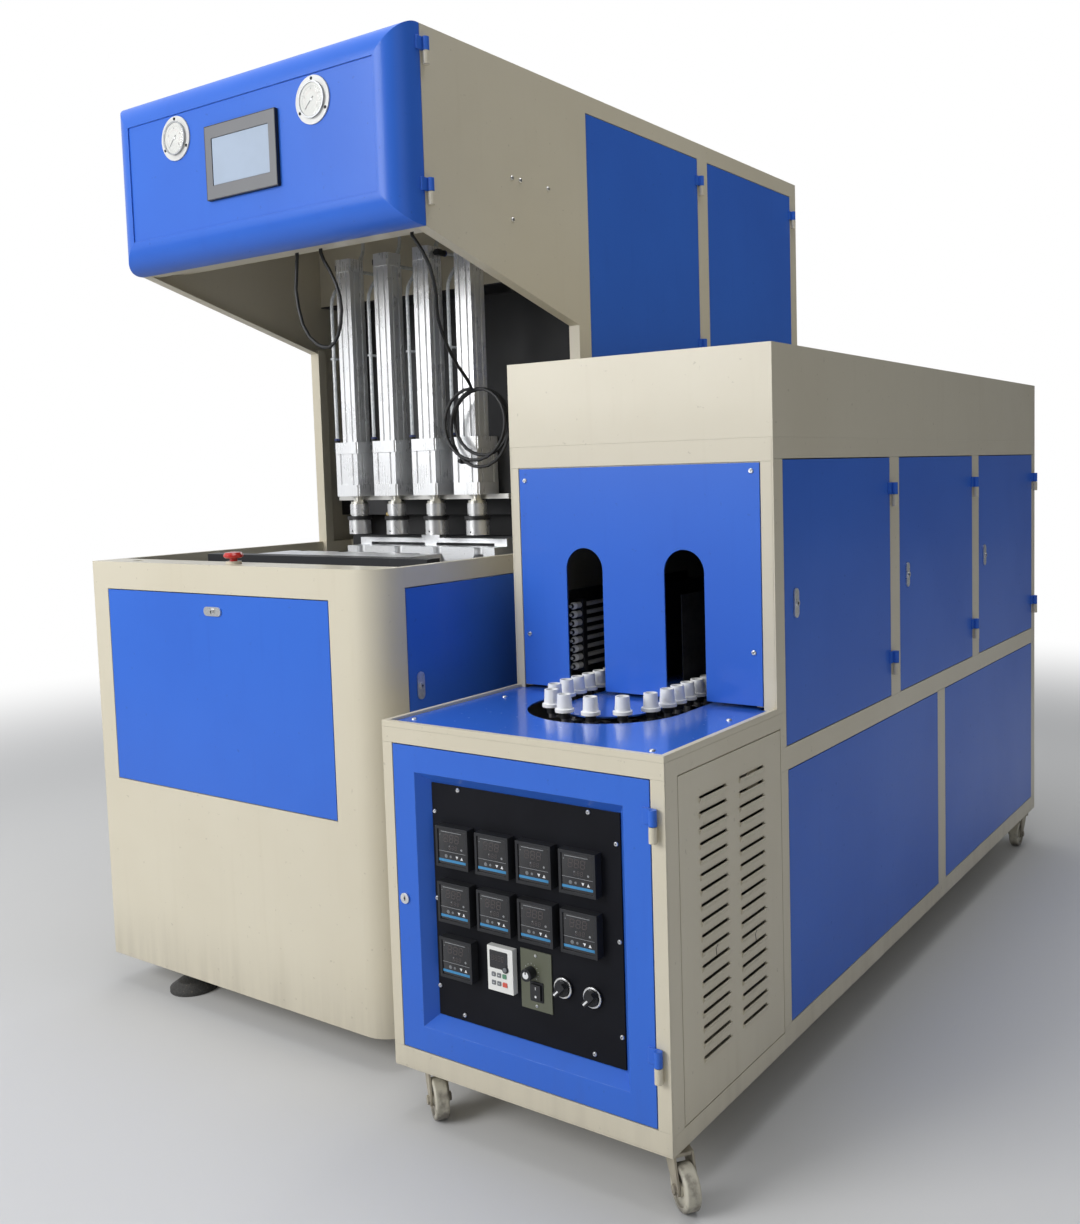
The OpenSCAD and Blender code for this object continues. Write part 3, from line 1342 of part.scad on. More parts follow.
// Casters: the plate, the swivelling fork and the wheel
caster_places = [[caster_inset, 65, -caster_turn], [heater_w - caster_inset, 65, -caster_turn],
    [caster_inset, heater_l - 35, -90], [heater_w - caster_inset, heater_l - 35, -90]];
module at_caster(i) {
    p = caster_places[i];
    at_heater() translate([p[0], p[1], 0]) rotate(p[2]) children();
}
module caster_plates() {
    color(cream) for (i = [0 : 3]) at_heater() translate([caster_places[i][0], caster_places[i][1], 0]) {
        block(-30, 30, -30, 30, heater_clear - 4, heater_clear);
        translate([0, 0, fork_top + 0.4]) cylinder(d = 46, h = heater_clear - 3 - fork_top);
        translate([0, 0, fork_top - 8]) cylinder(d = 12, h = 12);
        translate([0, 0, fork_top - 10]) cylinder(d = 20, h = 3.6);
    }
}
module caster_fork(i) {
    r = wheel_d / 2;
    color(cream) at_caster(i) difference() {
        union() {
            translate([0, 0, fork_top - 6]) cylinder(d = 50, h = 6);
            block(0, trail - 6, -wheel_w / 2 - 5, wheel_w / 2 + 5, fork_top - 6, fork_top);
            for (s = [-1, 1]) {
                translate([0, s * (wheel_w / 2 + 3) + 2, 0]) rotate([90, 0, 0]) linear_extrude(4) {
                    polygon([[-16, fork_top], [trail - 6, fork_top], [trail + 12, r + 4], [trail + 6, r - 10],
                        [trail - 8, r - 9], [trail - 14, r + 2]]);
                    translate([trail, r]) circle(12);
                }
            }
            translate([trail, wheel_w / 2 + 9, r]) rotate([90, 0, 0]) cylinder(d = 10, h = wheel_w + 18);
            for (s = [-1, 1]) translate([trail, s * (wheel_w / 2 + 7) + 2.5, r]) rotate([90, 0, 0]) {
                cylinder(d = 17, h = 5, $fn = 6);
            }
        }
        translate([0, 0, fork_top - 20]) cylinder(d = 12 + 2 * running, h = 21);
        translate([0, 0, fork_top - 30]) cylinder(d = 22, h = 23.6);
    }
}
module caster_wheel(i) {
    r = wheel_d / 2;
    h = wheel_w / 2;
    color(white) at_caster(i) translate([trail, 0, r]) rotate([90, 0, 0]) rotate_extrude() difference() {
        union() {
            translate([5 + running, -h]) square([r - 5 - running - tread_round, 2 * h]);
            translate([r - tread_round - 1, -h + tread_round])
                square([tread_round + 1, 2 * (h - tread_round)]);
            for (s = [-1, 1]) translate([r - tread_round, s * (h - tread_round)]) circle(tread_round);
        }
        for (s = [-1, 1]) translate([(r + 9) / 2 - 3, s * h]) square([r - 22, 8], center = true);
    }
}
module caster_fork_1() { caster_fork(0); }
module caster_fork_2() { caster_fork(1); }
module caster_fork_3() { caster_fork(2); }
module caster_fork_4() { caster_fork(3); }
module caster_wheel_1() { caster_wheel(0); }
module caster_wheel_2() { caster_wheel(1); }
module caster_wheel_3() { caster_wheel(2); }
module caster_wheel_4() { caster_wheel(3); }

// Oven doors
module oven_door(i) {
    y = oven_door_y[i];
    color(blue) at_heater() {
        difference() {
            pan_side(heater_w, y, y + oven_l, oven_low, oven_top);
            lock_hole_side(heater_w, y + 46, oven_lock_z);
        }
        translate([heater_w + knuckle_out, y + oven_l + hinge_set, 0]) for (z = oven_hinge_z) door_knuckle(z);
    }
}
module oven_door_1() { oven_door(0); }
module oven_door_2() { oven_door(1); }
module oven_door_3() { oven_door(2); }

// Control door with its sunk field, and what it carries
module sunk_form(o, depth) {
    x = field_x + [-o, o];
    z = field_z + [-o, o];
    s = ctrl_slope;
    intersection() {
        translate([0, 0, z[0]]) linear_extrude(z[1] - z[0]) {
            polygon([[x[0], -1], [x[1], -1], [x[1], 0], [x[1] - s, depth], [x[0] + s, depth], [x[0], 0]]);
        }
        side_plate(x[0], x[1]) {
            polygon([[-1, z[0]], [-1, z[1]], [0, z[1]], [depth, z[1] - s], [depth, z[0] + s], [0, z[0]]]);
        }
    }
}
module instrument_holes(y0, y1, o) {
    for (r = [0 : 2], c = [0 : r < 2 ? 3 : 0]) {
        x = meter_at(r, c)[0];
        z = meter_at(r, c)[1];
        block(x + 4 - o, x + meter_w - 4 + o, y0, y1, z + 4 - o, z + meter_w - 4 + o);
    }
    block(keypad_x[0] + 4 - o, keypad_x[1] - 4 + o, y0, y1, keypad_z[0] + 4 - o, keypad_z[1] - 4 + o);
    block(speed_x[0] + 6 - o, speed_x[1] - 6 + o, y0, y1, speed_z[0] + 8 - o, speed_z[1] - 8 + o);
    for (p = selectors) bar_y(p[0], y0, y1, p[1], 24 + 2 * o);
}
module control_door() {
    color(blue) at_heater() {
        difference() {
            union() {
                difference() {
                    pan_front(ctrl_x, ctrl_x + ctrl_w, ctrl_low, ctrl_top);
                    block(field_x[0] - 1, field_x[1] + 1, -1, skin + 1, field_z[0] - 1, field_z[1] + 1);
                }
                intersection() {
                    sunk_form(skin, plate_y + skin);
                    block(0, heater_w, 0, 60, 0, table_z);
                }
            }
            sunk_form(0, plate_y);
            instrument_holes(plate_y - 2, plate_y + 5, 2);
            bar_y(ctrl_lock[0], -1, pan_depth, ctrl_lock[1], lock_shaft_d + 2 * running);
        }
        for (z = ctrl_hinge_z) translate([ctrl_hinge_x, -knuckle_out, 0]) rotate(-90) door_knuckle(z);
    }
}
module control_plate() {
    color(black) at_heater() difference() {
        block(field_x[0] + ctrl_slope + 1, field_x[1] - ctrl_slope - 1, plate_y - 3, plate_y,
            field_z[0] + ctrl_slope + 1, field_z[1] - ctrl_slope - 1);
        instrument_holes(plate_y - 4, plate_y + 1, 0.3);
    }
}
module power_meters() {
    front = plate_y - 3;
    color(black) at_heater() for (r = [0 : 2], c = [0 : r < 2 ? 3 : 0]) {
        x = meter_at(r, c)[0];
        z = meter_at(r, c)[1];
        difference() {
            block(x, x + meter_w, front - 18, front, z, z + meter_w);
            block(x + 5, x + meter_w - 5, front - 19, front - 16.5, z + 5, z + meter_w - 5);
        }
        block(x + 4, x + meter_w - 4, front - 1, front + 70, z + 4, z + meter_w - 4);
    }
}
module drive_controls() {
    front = plate_y - 3;
    color(white) at_heater() {
        block(keypad_x[0], keypad_x[1], front - 12, front, keypad_z[0], keypad_z[1]);
        block(keypad_x[0] + 4, keypad_x[1] - 4, front - 1, front + 45, keypad_z[0] + 4, keypad_z[1] - 4);
        difference() {
            union() {
                block(speed_x[0], speed_x[1], front - 2, front, speed_z[0], speed_z[1]);
                block(speed_x[0] + 6, speed_x[1] - 6, front - 1, front + 50, speed_z[0] + 8, speed_z[1] - 8);
                block(speed_x[0] + 24, speed_x[0] + 44, front - 7, front, speed_z[0] + 20, speed_z[0] + 47);
            }
            bar_y(speed_knob_at[0], front - 3, front + 22, speed_knob_at[1], 6 + 2 * running);
        }
        for (p = selectors) difference() {
            union() {
                bar_y(p[0], front - 4, front, p[1], 36);
                bar_y(p[0], front - 1, front + 30, p[1], 24);
            }
            bar_y(p[0], front - 5, front + 22, p[1], 10 + 2 * running);
        }
    }
}
module speed_knob() {
    front = plate_y - 5;
    color(black) at_heater() translate([speed_knob_at[0], 0, speed_knob_at[1]]) {
        bar_y(0, front - 17, front - 0.3, 0, 22);
        bar_y(0, front - 1, front + 20, 0, 6);
        block(-1, 1, front - 18, front - 16, 2, 10);
    }
}
module selector(p, a) {
    front = plate_y - 7;
    color(black) at_heater() translate([p[0], 0, p[1]]) rotate([0, a, 0]) {
        bar_y(0, front - 6, front - 0.3, 0, 28);
        block(-4.5, 4.5, front - 15, front - 5, -14, 14);
        bar_y(0, front - 1, front + 20, 0, 10);
    }
}
module selector_left() { selector(selectors[0], 45); }
module selector_right() { selector(selectors[1], 45); }

desk_shell();
desk_frame();
desk_covers();
levelling_feet();
head_shell();
cylinder_bench();
air_cylinders();
air_fittings();
air_tubes();
cable_loop();
cable_drop();
cable_coil();
fixed_platen();
rear_mould();
frame_hinges();
heater_frame();
oven_hood();
oven_panels();
table_plates();
louvre_panel();
lamp_racks();
lamps();
carrier_chain();
preform_carriers();
stretch_rods();
blow_nozzles();
moving_platen();
front_mould();
tie_bars();
head_cover();
touch_screen();
pressure_gauges();
head_door_front();
head_door_rear();
stop_button();
control_door();
control_plate();
power_meters();
drive_controls();
speed_knob();
selector_left();
selector_right();
oven_door_1();
oven_door_2();
oven_door_3();
front_lock();
side_lock();
control_lock();
oven_lock_1();
oven_lock_2();
oven_lock_3();
caster_fork_1();
caster_fork_2();
caster_fork_3();
caster_fork_4();
caster_wheel_1();
caster_wheel_2();
caster_wheel_3();
caster_wheel_4();
caster_plates();
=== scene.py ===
import json
import random
from functools import partialmethod
from math import cos, pi, radians, sin

import bmesh
import bpy
from mathutils import Matrix, Vector
from mathutils.bvhtree import BVHTree

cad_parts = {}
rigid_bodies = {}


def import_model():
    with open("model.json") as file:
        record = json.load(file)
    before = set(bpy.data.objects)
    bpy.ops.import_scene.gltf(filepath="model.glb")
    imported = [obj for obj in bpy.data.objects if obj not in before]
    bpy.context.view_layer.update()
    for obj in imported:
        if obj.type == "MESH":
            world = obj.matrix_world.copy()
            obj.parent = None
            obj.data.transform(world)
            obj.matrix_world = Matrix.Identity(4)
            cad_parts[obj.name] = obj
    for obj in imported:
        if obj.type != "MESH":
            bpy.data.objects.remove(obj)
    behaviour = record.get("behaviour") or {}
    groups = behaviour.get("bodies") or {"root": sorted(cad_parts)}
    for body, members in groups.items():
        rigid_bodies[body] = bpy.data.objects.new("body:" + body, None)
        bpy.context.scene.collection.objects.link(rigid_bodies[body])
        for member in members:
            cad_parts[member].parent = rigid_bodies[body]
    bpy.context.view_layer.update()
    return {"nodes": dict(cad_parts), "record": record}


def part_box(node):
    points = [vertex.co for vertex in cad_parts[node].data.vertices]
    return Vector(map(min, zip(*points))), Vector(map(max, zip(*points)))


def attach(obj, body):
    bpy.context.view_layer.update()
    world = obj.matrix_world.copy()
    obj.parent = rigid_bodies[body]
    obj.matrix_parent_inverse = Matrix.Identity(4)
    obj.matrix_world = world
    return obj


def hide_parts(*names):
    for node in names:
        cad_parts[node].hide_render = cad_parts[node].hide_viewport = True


for old in list(bpy.data.objects):
    bpy.data.objects.remove(old)
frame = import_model()
scene = bpy.context.scene
nodes = frame["nodes"]

# The left front corners of the blow unit and of the heater: places are measured from them, in millimetres
deskCorner = Vector((*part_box("desk_shell")[0][:2], 0))
heaterCorner = Vector((*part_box("heater_frame")[0][:2], 0))


def atDesk(x, y, z):
    return deskCorner + Vector((x, y, z)) / 1000


def atHeater(x, y, z):
    return heaterCorner + Vector((x, y, z)) / 1000


def turnBy(degrees, axis):
    return Matrix.Rotation(radians(degrees), 4, axis)


def newPiece(name, mesh, finish=None):
    piece = bpy.data.objects.new(name, mesh)
    scene.collection.objects.link(piece)
    if finish:
        piece.data.materials.append(finish)
    return piece


# The camera stands where the photograph was taken from
photoView = {
    "place": (1536.2, -1545.4, 1199.0),  # from the heater's corner
    "turn": 34.0276, "tilt": -4.4223, "roll": -1.5617,  # degrees
    "focal": 1186.66, "middle": (600.84, 561.84), "size": (1080, 1224),  # pixels
    "sensor": 36, "reach": 60,
}
longSide = max(photoView["size"])
cameraData = bpy.data.cameras.new("photoCamera")
cameraData.sensor_width = photoView["sensor"]
cameraData.lens = photoView["focal"] * photoView["sensor"] / longSide
cameraData.shift_x = (photoView["size"][0] / 2 - photoView["middle"][0]) / longSide
cameraData.shift_y = (photoView["middle"][1] - photoView["size"][1] / 2) / longSide
cameraData.clip_end = photoView["reach"]
camera = scene.camera = newPiece("photoCamera", cameraData)
camera.matrix_world = (Matrix.Translation(atHeater(*photoView["place"])) @ turnBy(photoView["turn"], "Z")
                       @ turnBy(90 + photoView["tilt"], "X") @ turnBy(photoView["roll"], "Z"))
print("camera set")


def meshFrom(bm, name, outward=True):
    if outward:
        bmesh.ops.recalc_face_normals(bm, faces=bm.faces)
    mesh = bpy.data.meshes.new(name)
    bm.to_mesh(mesh)
    bm.free()
    return mesh


def softened(piece, angle=32):
    piece.data.polygons.foreach_set("use_smooth", [True] * len(piece.data.polygons))
    piece.data.set_sharp_from_angle(angle=radians(angle))
    return piece


def asMesh(piece):
    return bpy.data.meshes.new_from_object(piece.evaluated_get(bpy.context.evaluated_depsgraph_get()))


# A turned part from its profile of radius and height
def turned(name, profile, place, finish, body, steps=40, angle=32):
    bm = bmesh.new()
    rings = []
    for radius, level in profile:
        if radius < 1e-6:
            rings.append([bm.verts.new((0, 0, level))])
        else:
            ways = [2 * pi * i / steps for i in range(steps)]
            rings.append([bm.verts.new((radius * cos(a), radius * sin(a), level)) for a in ways])
    for low, high in zip(rings, rings[1:]):
        for i in range(steps):
            j = (i + 1) % steps
            around = [low[i % len(low)], low[j % len(low)], high[j % len(high)], high[i % len(high)]]
            face = [v for k, v in enumerate(around) if v not in around[:k]]
            if len(face) > 2:
                bm.faces.new(face)
    for ring in (rings[0][::-1], rings[-1]):
        if len(ring) > 1:
            bm.faces.new(ring)
    mesh = meshFrom(bm, name)
    mesh.transform(place @ Matrix.Scale(0.001, 4))
    piece = softened(newPiece(name, mesh, finish), angle)
    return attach(piece, body) if body else piece


# Free cables of the head: both are the same sheathed cable
cable = {"thick": 8, "loopLane": 252, "coilTurns": 3.395, "coilRadius": 95, "coilStep": 9.2, "coilFront": 11,
         "slack": 17, "slackRight": 0.8, "slackUp": 0.9, "coilMiddle": (730, 545, 1305), "turnPoints": 24,
         "plug": (672, 556, 1230)}
loopPoints = [(467, 1711.8), (467, 1700), (463, 1668), (458, 1627), (464, 1585), (476, 1546), (496, 1517),
              (522, 1498), (541, 1491), (560, 1490), (575, 1499), (587, 1514), (597, 1540), (601, 1568),
              (598, 1597), (587, 1627), (568, 1660), (551, 1684), (544, 1700), (544, 1711.8)]
dropPoints = [(819, 252, 1711.8), (819, 252, 1702), (830, 255, 1685), (841, 260, 1665), (847, 272, 1638),
              (841, 290, 1610), (823, 316, 1586), (802, 340, 1564), (786, 362, 1540), (776, 384, 1514),
              (768, 408, 1490), (758, 436, 1468), (748, 466, 1448), (740, 496, 1430), (734, 519, 1415)]


def coilPoint(turn):
    angle = radians(90) + turn * 2 * pi
    drawnIn = cable["slack"] * sin(2 * pi * turn / cable["coilTurns"]) ** 2
    radius = cable["coilRadius"] - drawnIn
    mx, my, mz = cable["coilMiddle"]
    return (mx + radius * cos(angle) + cable["slackRight"] * drawnIn,
            my - cable["coilFront"] + cable["coilStep"] * turn,
            mz + radius * sin(angle) + cable["slackUp"] * drawnIn)


# The points carry the cable's radius, as Blender takes the box of a curve from them
def cablePiece(name, places):
    curve = bpy.data.curves.new(name, "CURVE")
    curve.dimensions = "3D"
    curve.bevel_depth = 1
    curve.bevel_resolution = 5
    curve.use_fill_caps = True
    spline = curve.splines.new("POLY")
    spline.points.add(len(places) - 1)
    for point, place in zip(spline.points, places):
        point.co = (*place, 1)
        point.radius = cable["thick"] / 2000
    return newPiece(name, curve)


def lengthOf(places):
    return sum((b - a).length for a, b in zip(places, places[1:]))


loopPlaces = [atDesk(x, cable["loopLane"], z) for x, z in loopPoints]
cableLoop = cablePiece("cableLoop", loopPlaces)
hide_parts("cable_loop")
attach(cableLoop, "machine")
lengthOf(loopPlaces)

coilSteps = round(cable["coilTurns"] * cable["turnPoints"])
coilPlaces = [atDesk(*coilPoint(cable["coilTurns"] * i / coilSteps)) for i in range(coilSteps + 1)]
dropPlaces = [atDesk(*p) for p in dropPoints] + coilPlaces
cableDrop = cablePiece("cableDrop", dropPlaces)
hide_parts("cable_drop", "cable_coil")
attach(cableDrop, "machine")

# The cable ends in a plug on the last sealing cylinder
plugProfile = [(4.2, -9), (5.0, -8), (5.6, -3), (7.2, -1), (7.5, 1), (7.5, 9), (6.9, 10), (6.9, 12),
               (7.5, 13), (7.5, 22.5)]
cablePlug = turned("cablePlug", plugProfile, Matrix.Translation(atDesk(*cable["plug"])) @ turnBy(-90, "X"),
                   None, "machine", 24)
lengthOf(dropPlaces)
print("cables", round(lengthOf(loopPlaces), 3), round(lengthOf(dropPlaces), 3), "m")


# One wrapper for sockets, so that patterns read as sums and products
class Sock:
    def __init__(self, graph, socket):
        self.graph, self.socket = graph, socket

    def maths(self, how, *others):
        return self.graph.add("ShaderNodeMath", {"operation": how}, dict(enumerate((self, *others))))

    __add__ = __radd__ = partialmethod(maths, "ADD")
    __sub__ = partialmethod(maths, "SUBTRACT")
    __mul__ = __rmul__ = partialmethod(maths, "MULTIPLY")
    __truediv__ = partialmethod(maths, "DIVIDE")
    __pow__ = partialmethod(maths, "POWER")
    __gt__ = partialmethod(maths, "GREATER_THAN")
    __lt__ = partialmethod(maths, "LESS_THAN")

    def __rsub__(self, other):
        return self.graph.add("ShaderNodeMath", {"operation": "SUBTRACT"}, {0: other, 1: self})

    def ramp(self, low, high, toLow=0.0, toHigh=1.0):
        return self.graph.add("ShaderNodeMapRange", {"clamp": True, "interpolation_type": "SMOOTHSTEP"},
                              {"Value": self, "From Min": low, "From Max": high, "To Min": toLow,
                               "To Max": toHigh})

    def __getitem__(self, name):
        return Sock(self.graph, self.socket.node.outputs[name])


# Nodes are named without their family, unless they come from another one; their sockets stand last
class Graph:
    family = "ShaderNode"

    def __init__(self, tree):
        self.tree = tree
        tree.nodes.clear()

    def add(self, kind, *given, out=0):
        node = self.tree.nodes.new(kind if "Node" in kind else self.family + kind)
        for settings in given[:-1]:
            for name, value in settings.items():
                setattr(node, name, value)
        for key, value in (given[-1] if given else {}).items():
            if isinstance(value, Sock):
                self.tree.links.new(value.socket, node.inputs[key])
            else:
                node.inputs[key].default_value = value
        return Sock(self, node.outputs[out]) if len(node.outputs) else None

    def join(self, first, second, factor):
        first, second = ((*tint, 1) if isinstance(tint, tuple) else tint for tint in (first, second))
        return self.add("Mix", {"data_type": "RGBA"}, {0: factor, 6: first, 7: second}, out=2)

    def noise(self, place, scale, detail=2.0, rough=0.5):
        return self.add("TexNoise", {"Vector": place, "Scale": scale, "Detail": detail, "Roughness": rough})

    def stretched(self, place, scale):
        return self.add("Mapping", {"Vector": place, "Scale": scale})

    def axis(self, place, number):
        return self.add("ShaderNodeSeparateXYZ", {0: place}, out=number)

    def rounded(self, radius):
        return self.add("Bevel", {"samples": 4}, {"Radius": radius})

    def bump(self, height, strength, depth, normal=None):
        sockets = {"Height": height, "Strength": strength, "Distance": depth}
        if normal:
            sockets["Normal"] = normal
        return self.add("Bump", sockets)


def finishOf(name, build, spec=None):
    made = bpy.data.materials.new(name)
    made.use_nodes = True
    g = Graph(made.node_tree)
    shader = g.add("BsdfPrincipled", build(g, g.add("TexCoord", out=3), spec))
    g.add("OutputMaterial", {"Surface": shader})
    return made


# Stove enamel on folded sheet: orange peel, softened folds, rubbed edges, and a darker tint towards the floor
# that is dust and painted shade, thinning out upwards
enamelScale = {"cloud": 2.3, "streak": (14, 14, 1.1), "peel": 900, "spot": 85, "rub": 40}


def enamel(g, place, spec):
    cloud = g.noise(place, enamelScale["cloud"], 4)
    streak = g.noise(g.stretched(place, enamelScale["streak"]), 3.0, 3)
    fine = g.noise(place, enamelScale["peel"], 1)
    spots = g.noise(place, enamelScale["spot"], 3).ramp(0.69, 0.76)
    folded = g.rounded(spec["fold"])
    flat = g.add("NewGeometry", out=1)
    bend = g.add("VectorMath", {"operation": "DOT_PRODUCT"}, {0: folded, 1: flat}, out=1)
    edge = bend.ramp(0.999, 0.9) * g.noise(place, enamelScale["rub"], 3).ramp(0.42, 0.66)
    # Dust and painted shade: the colour darkens towards the floor below a given height, and the dust also
    # roughens the paint
    dust = g.axis(place, 2).ramp(spec["dustTop"], 0.02) * streak.ramp(0.3, 0.75, 0.45, 1.0) * spec["dust"]
    paint = g.join(spec["paint"], spec["shade"], cloud.ramp(0.35, 0.7) * 0.55)
    paint = g.join(paint, spec["shade"], streak.ramp(0.55, 0.8) * 0.3)
    paint = g.join(paint, spec["rub"], edge * 0.5)
    paint = g.join(paint, spec["spot"], spots * spec["spots"])
    paint = g.join(paint, spec["dirt"], dust)
    rough = spec["rough"] + cloud.ramp(0.3, 0.7) * 0.06 + dust * 0.35 + spots * 0.1
    return {"Base Color": paint, "Roughness": rough, "Coat Weight": spec["coat"], "Coat Roughness": 0.12,
            "Specular IOR Level": spec.get("shine", 0.4),
            "Normal": g.bump(fine * 0.6 + cloud * 6, 0.1, 0.0004, folded)}


# In each enamel the dirt tint darkens it towards the floor: dust and painted shade
blueBase = {"rub": (0.16, 0.3, 0.76), "spot": (0.02, 0.05, 0.16), "fold": 0.0018, "spots": 0.22}
creamEnamel = finishOf("creamEnamel", enamel, {
    "paint": (0.64, 0.59, 0.465), "shade": (0.585, 0.53, 0.405), "rub": (0.7, 0.66, 0.55),
    "spot": (0.25, 0.21, 0.15), "dirt": (0.3, 0.27, 0.22), "fold": 0.0016, "rough": 0.34, "coat": 0.15,
    "dust": 0.42, "dustTop": 0.24, "spots": 0.3})
blueEnamel = finishOf("blueEnamel", enamel, {
    **blueBase, "paint": (0.036, 0.146, 0.63), "shade": (0.03, 0.122, 0.56), "dirt": (0.09, 0.11, 0.2),
    "rough": 0.3, "coat": 0.08, "shine": 0.22, "dust": 0.12, "dustTop": 0.34})
tableEnamel = finishOf("tableEnamel", enamel, {
    **blueBase, "paint": (0.036, 0.15, 0.65), "shade": (0.03, 0.126, 0.58), "dirt": (0.17, 0.19, 0.28),
    "rough": 0.2, "coat": 0.55, "dust": 0.0, "dustTop": 0.1})
blackEnamel = finishOf("blackEnamel", enamel, {
    "paint": (0.016, 0.017, 0.02), "shade": (0.011, 0.012, 0.014), "rub": (0.06, 0.06, 0.065),
    "spot": (0.07, 0.07, 0.07), "dirt": (0.09, 0.085, 0.075), "fold": 0.0008, "rough": 0.42, "coat": 0.0,
    "dust": 0.3, "dustTop": 0.3, "spots": 0.3})
casterCream = finishOf("casterCream", enamel, {
    "paint": (0.58, 0.53, 0.41), "shade": (0.48, 0.43, 0.33), "rub": (0.36, 0.34, 0.31),
    "spot": (0.12, 0.1, 0.08), "dirt": (0.17, 0.15, 0.125), "fold": 0.0012, "rough": 0.45, "coat": 0.0,
    "dust": 1.1, "dustTop": 0.16, "spots": 0.8})


# Bare metal: fine lines along the way it was worked and a little haze; its tints are light, dark and stain
def bareMetal(g, place, spec):
    grain = g.noise(g.stretched(place, spec["grain"]), 1.0, 4, 0.65)
    haze = g.noise(place, 11, 4)
    marks = g.noise(place, 160, 2).ramp(0.66, 0.74)
    light, dark, stain = spec["tints"]
    tint = g.join(light, dark, grain.ramp(0.3, 0.7) * 0.6 + haze.ramp(0.45, 0.75) * 0.3)
    tint = g.join(tint, stain, marks * spec["marks"])
    rough = spec["rough"] + grain.ramp(0.25, 0.75) * spec["spread"] + haze.ramp(0.4, 0.7) * 0.08
    return {"Base Color": tint, "Metallic": spec["metal"], "Roughness": rough,
            "Normal": g.bump(grain, spec.get("lines", 0.12), 0.0002, g.rounded(spec["edge"]))}


machinedAlloy = finishOf("machinedAlloy", bareMetal, {
    "tints": ((0.9, 0.91, 0.92), (0.74, 0.75, 0.77), (0.4, 0.4, 0.41)),
    "grain": (40, 40, 700), "edge": 0.0012, "rough": 0.3, "spread": 0.14, "metal": 0.85, "marks": 0.3})
barrelAlloy = finishOf("barrelAlloy", bareMetal, {
    "tints": ((0.97, 0.97, 0.97), (0.86, 0.87, 0.88), (0.6, 0.6, 0.61)),
    "grain": (420, 420, 0.15), "edge": 0.001, "rough": 0.25, "spread": 0.04, "metal": 0.56, "marks": 0.03,
    "lines": 0.015})
tinnedWire = finishOf("tinnedWire", bareMetal, {
    "tints": ((0.95, 0.95, 0.94), (0.8, 0.8, 0.8), (0.5, 0.48, 0.44)),
    "grain": (300, 300, 300), "edge": 0.0003, "rough": 0.3, "spread": 0.1, "metal": 0.35, "marks": 0.2})
groundSteel = finishOf("groundSteel", bareMetal, {
    "tints": ((0.8, 0.8, 0.8), (0.58, 0.59, 0.6), (0.25, 0.24, 0.22)),
    "grain": (30, 30, 900), "edge": 0.0007, "rough": 0.2, "spread": 0.16, "metal": 1.0, "marks": 0.25})
platedSteel = finishOf("platedSteel", bareMetal, {
    "tints": ((0.84, 0.84, 0.83), (0.62, 0.62, 0.62), (0.3, 0.28, 0.24)),
    "grain": (160, 160, 160), "edge": 0.0006, "rough": 0.24, "spread": 0.1, "metal": 1.0, "marks": 0.3})
oiledSteel = finishOf("oiledSteel", bareMetal, {
    "tints": ((0.34, 0.34, 0.35), (0.16, 0.15, 0.15), (0.09, 0.07, 0.05)),
    "grain": (240, 240, 60), "edge": 0.0007, "rough": 0.32, "spread": 0.18, "metal": 0.9, "marks": 0.6})
brassFitting = finishOf("brassFitting", bareMetal, {
    "tints": ((0.8, 0.62, 0.28), (0.58, 0.42, 0.17), (0.25, 0.17, 0.08)),
    "grain": (120, 120, 500), "edge": 0.0006, "rough": 0.26, "spread": 0.14, "metal": 1.0, "marks": 0.4})
ovenSteel = finishOf("ovenSteel", bareMetal, {
    "tints": ((0.085, 0.085, 0.09), (0.04, 0.04, 0.043), (0.12, 0.1, 0.08)),
    "grain": (60, 60, 60), "edge": 0.0012, "rough": 0.34, "spread": 0.12, "metal": 0.8, "marks": 0.4})
padIron = finishOf("padIron", bareMetal, {
    "tints": ((0.075, 0.073, 0.07), (0.03, 0.03, 0.03), (0.2, 0.17, 0.13)),
    "grain": (300, 300, 300), "edge": 0.001, "rough": 0.5, "spread": 0.2, "metal": 0.3, "marks": 0.7})


# Moulded plastic, rubber and printed faces
def moulded(g, place, spec):
    grain = g.noise(place, spec["grain"], 2)
    haze = g.noise(place, 9, 3)
    tint = g.join(spec["light"], spec["dark"], haze.ramp(0.35, 0.7) * 0.6 + grain.ramp(0.5, 0.8) * 0.3)
    return {"Base Color": tint, "Roughness": spec["rough"] + haze.ramp(0.3, 0.7) * 0.08,
            "Normal": g.bump(grain, spec["bump"], 0.0003, g.rounded(spec["edge"])), **spec.get("more", {})}


def plain(name, light, rough, **more):
    return finishOf(name, moulded, {"light": light, "dark": tuple(c * 0.88 for c in light), "grain": 700,
                                    "edge": 0.0006, "bump": 0.06, "rough": rough, "more": more})


blackPlastic = finishOf("blackPlastic", moulded, {
    "light": (0.022, 0.023, 0.026), "dark": (0.013, 0.013, 0.015), "grain": 1200, "edge": 0.0009,
    "bump": 0.12, "rough": 0.36, "more": {"Specular IOR Level": 0.3}})
plateBlack = finishOf("plateBlack", moulded, {
    "light": (0.0085, 0.009, 0.012), "dark": (0.006, 0.006, 0.008), "grain": 1500, "edge": 0.0005,
    "bump": 0.08, "rough": 0.46, "more": {"Specular IOR Level": 0.1}})
cableSheath = finishOf("cableSheath", moulded, {
    "light": (0.02, 0.02, 0.021), "dark": (0.012, 0.012, 0.012), "grain": 500, "edge": 0.0004,
    "bump": 0.15, "rough": 0.46})
whitePlastic = plain("whitePlastic", (0.8, 0.8, 0.77), 0.32)
redPlastic = plain("redPlastic", (0.56, 0.022, 0.016), 0.24, **{"Coat Weight": 0.5})
keyGrey = plain("keyGrey", (0.17, 0.18, 0.19), 0.4)
keyGreen = plain("keyGreen", (0.1, 0.26, 0.16), 0.4)
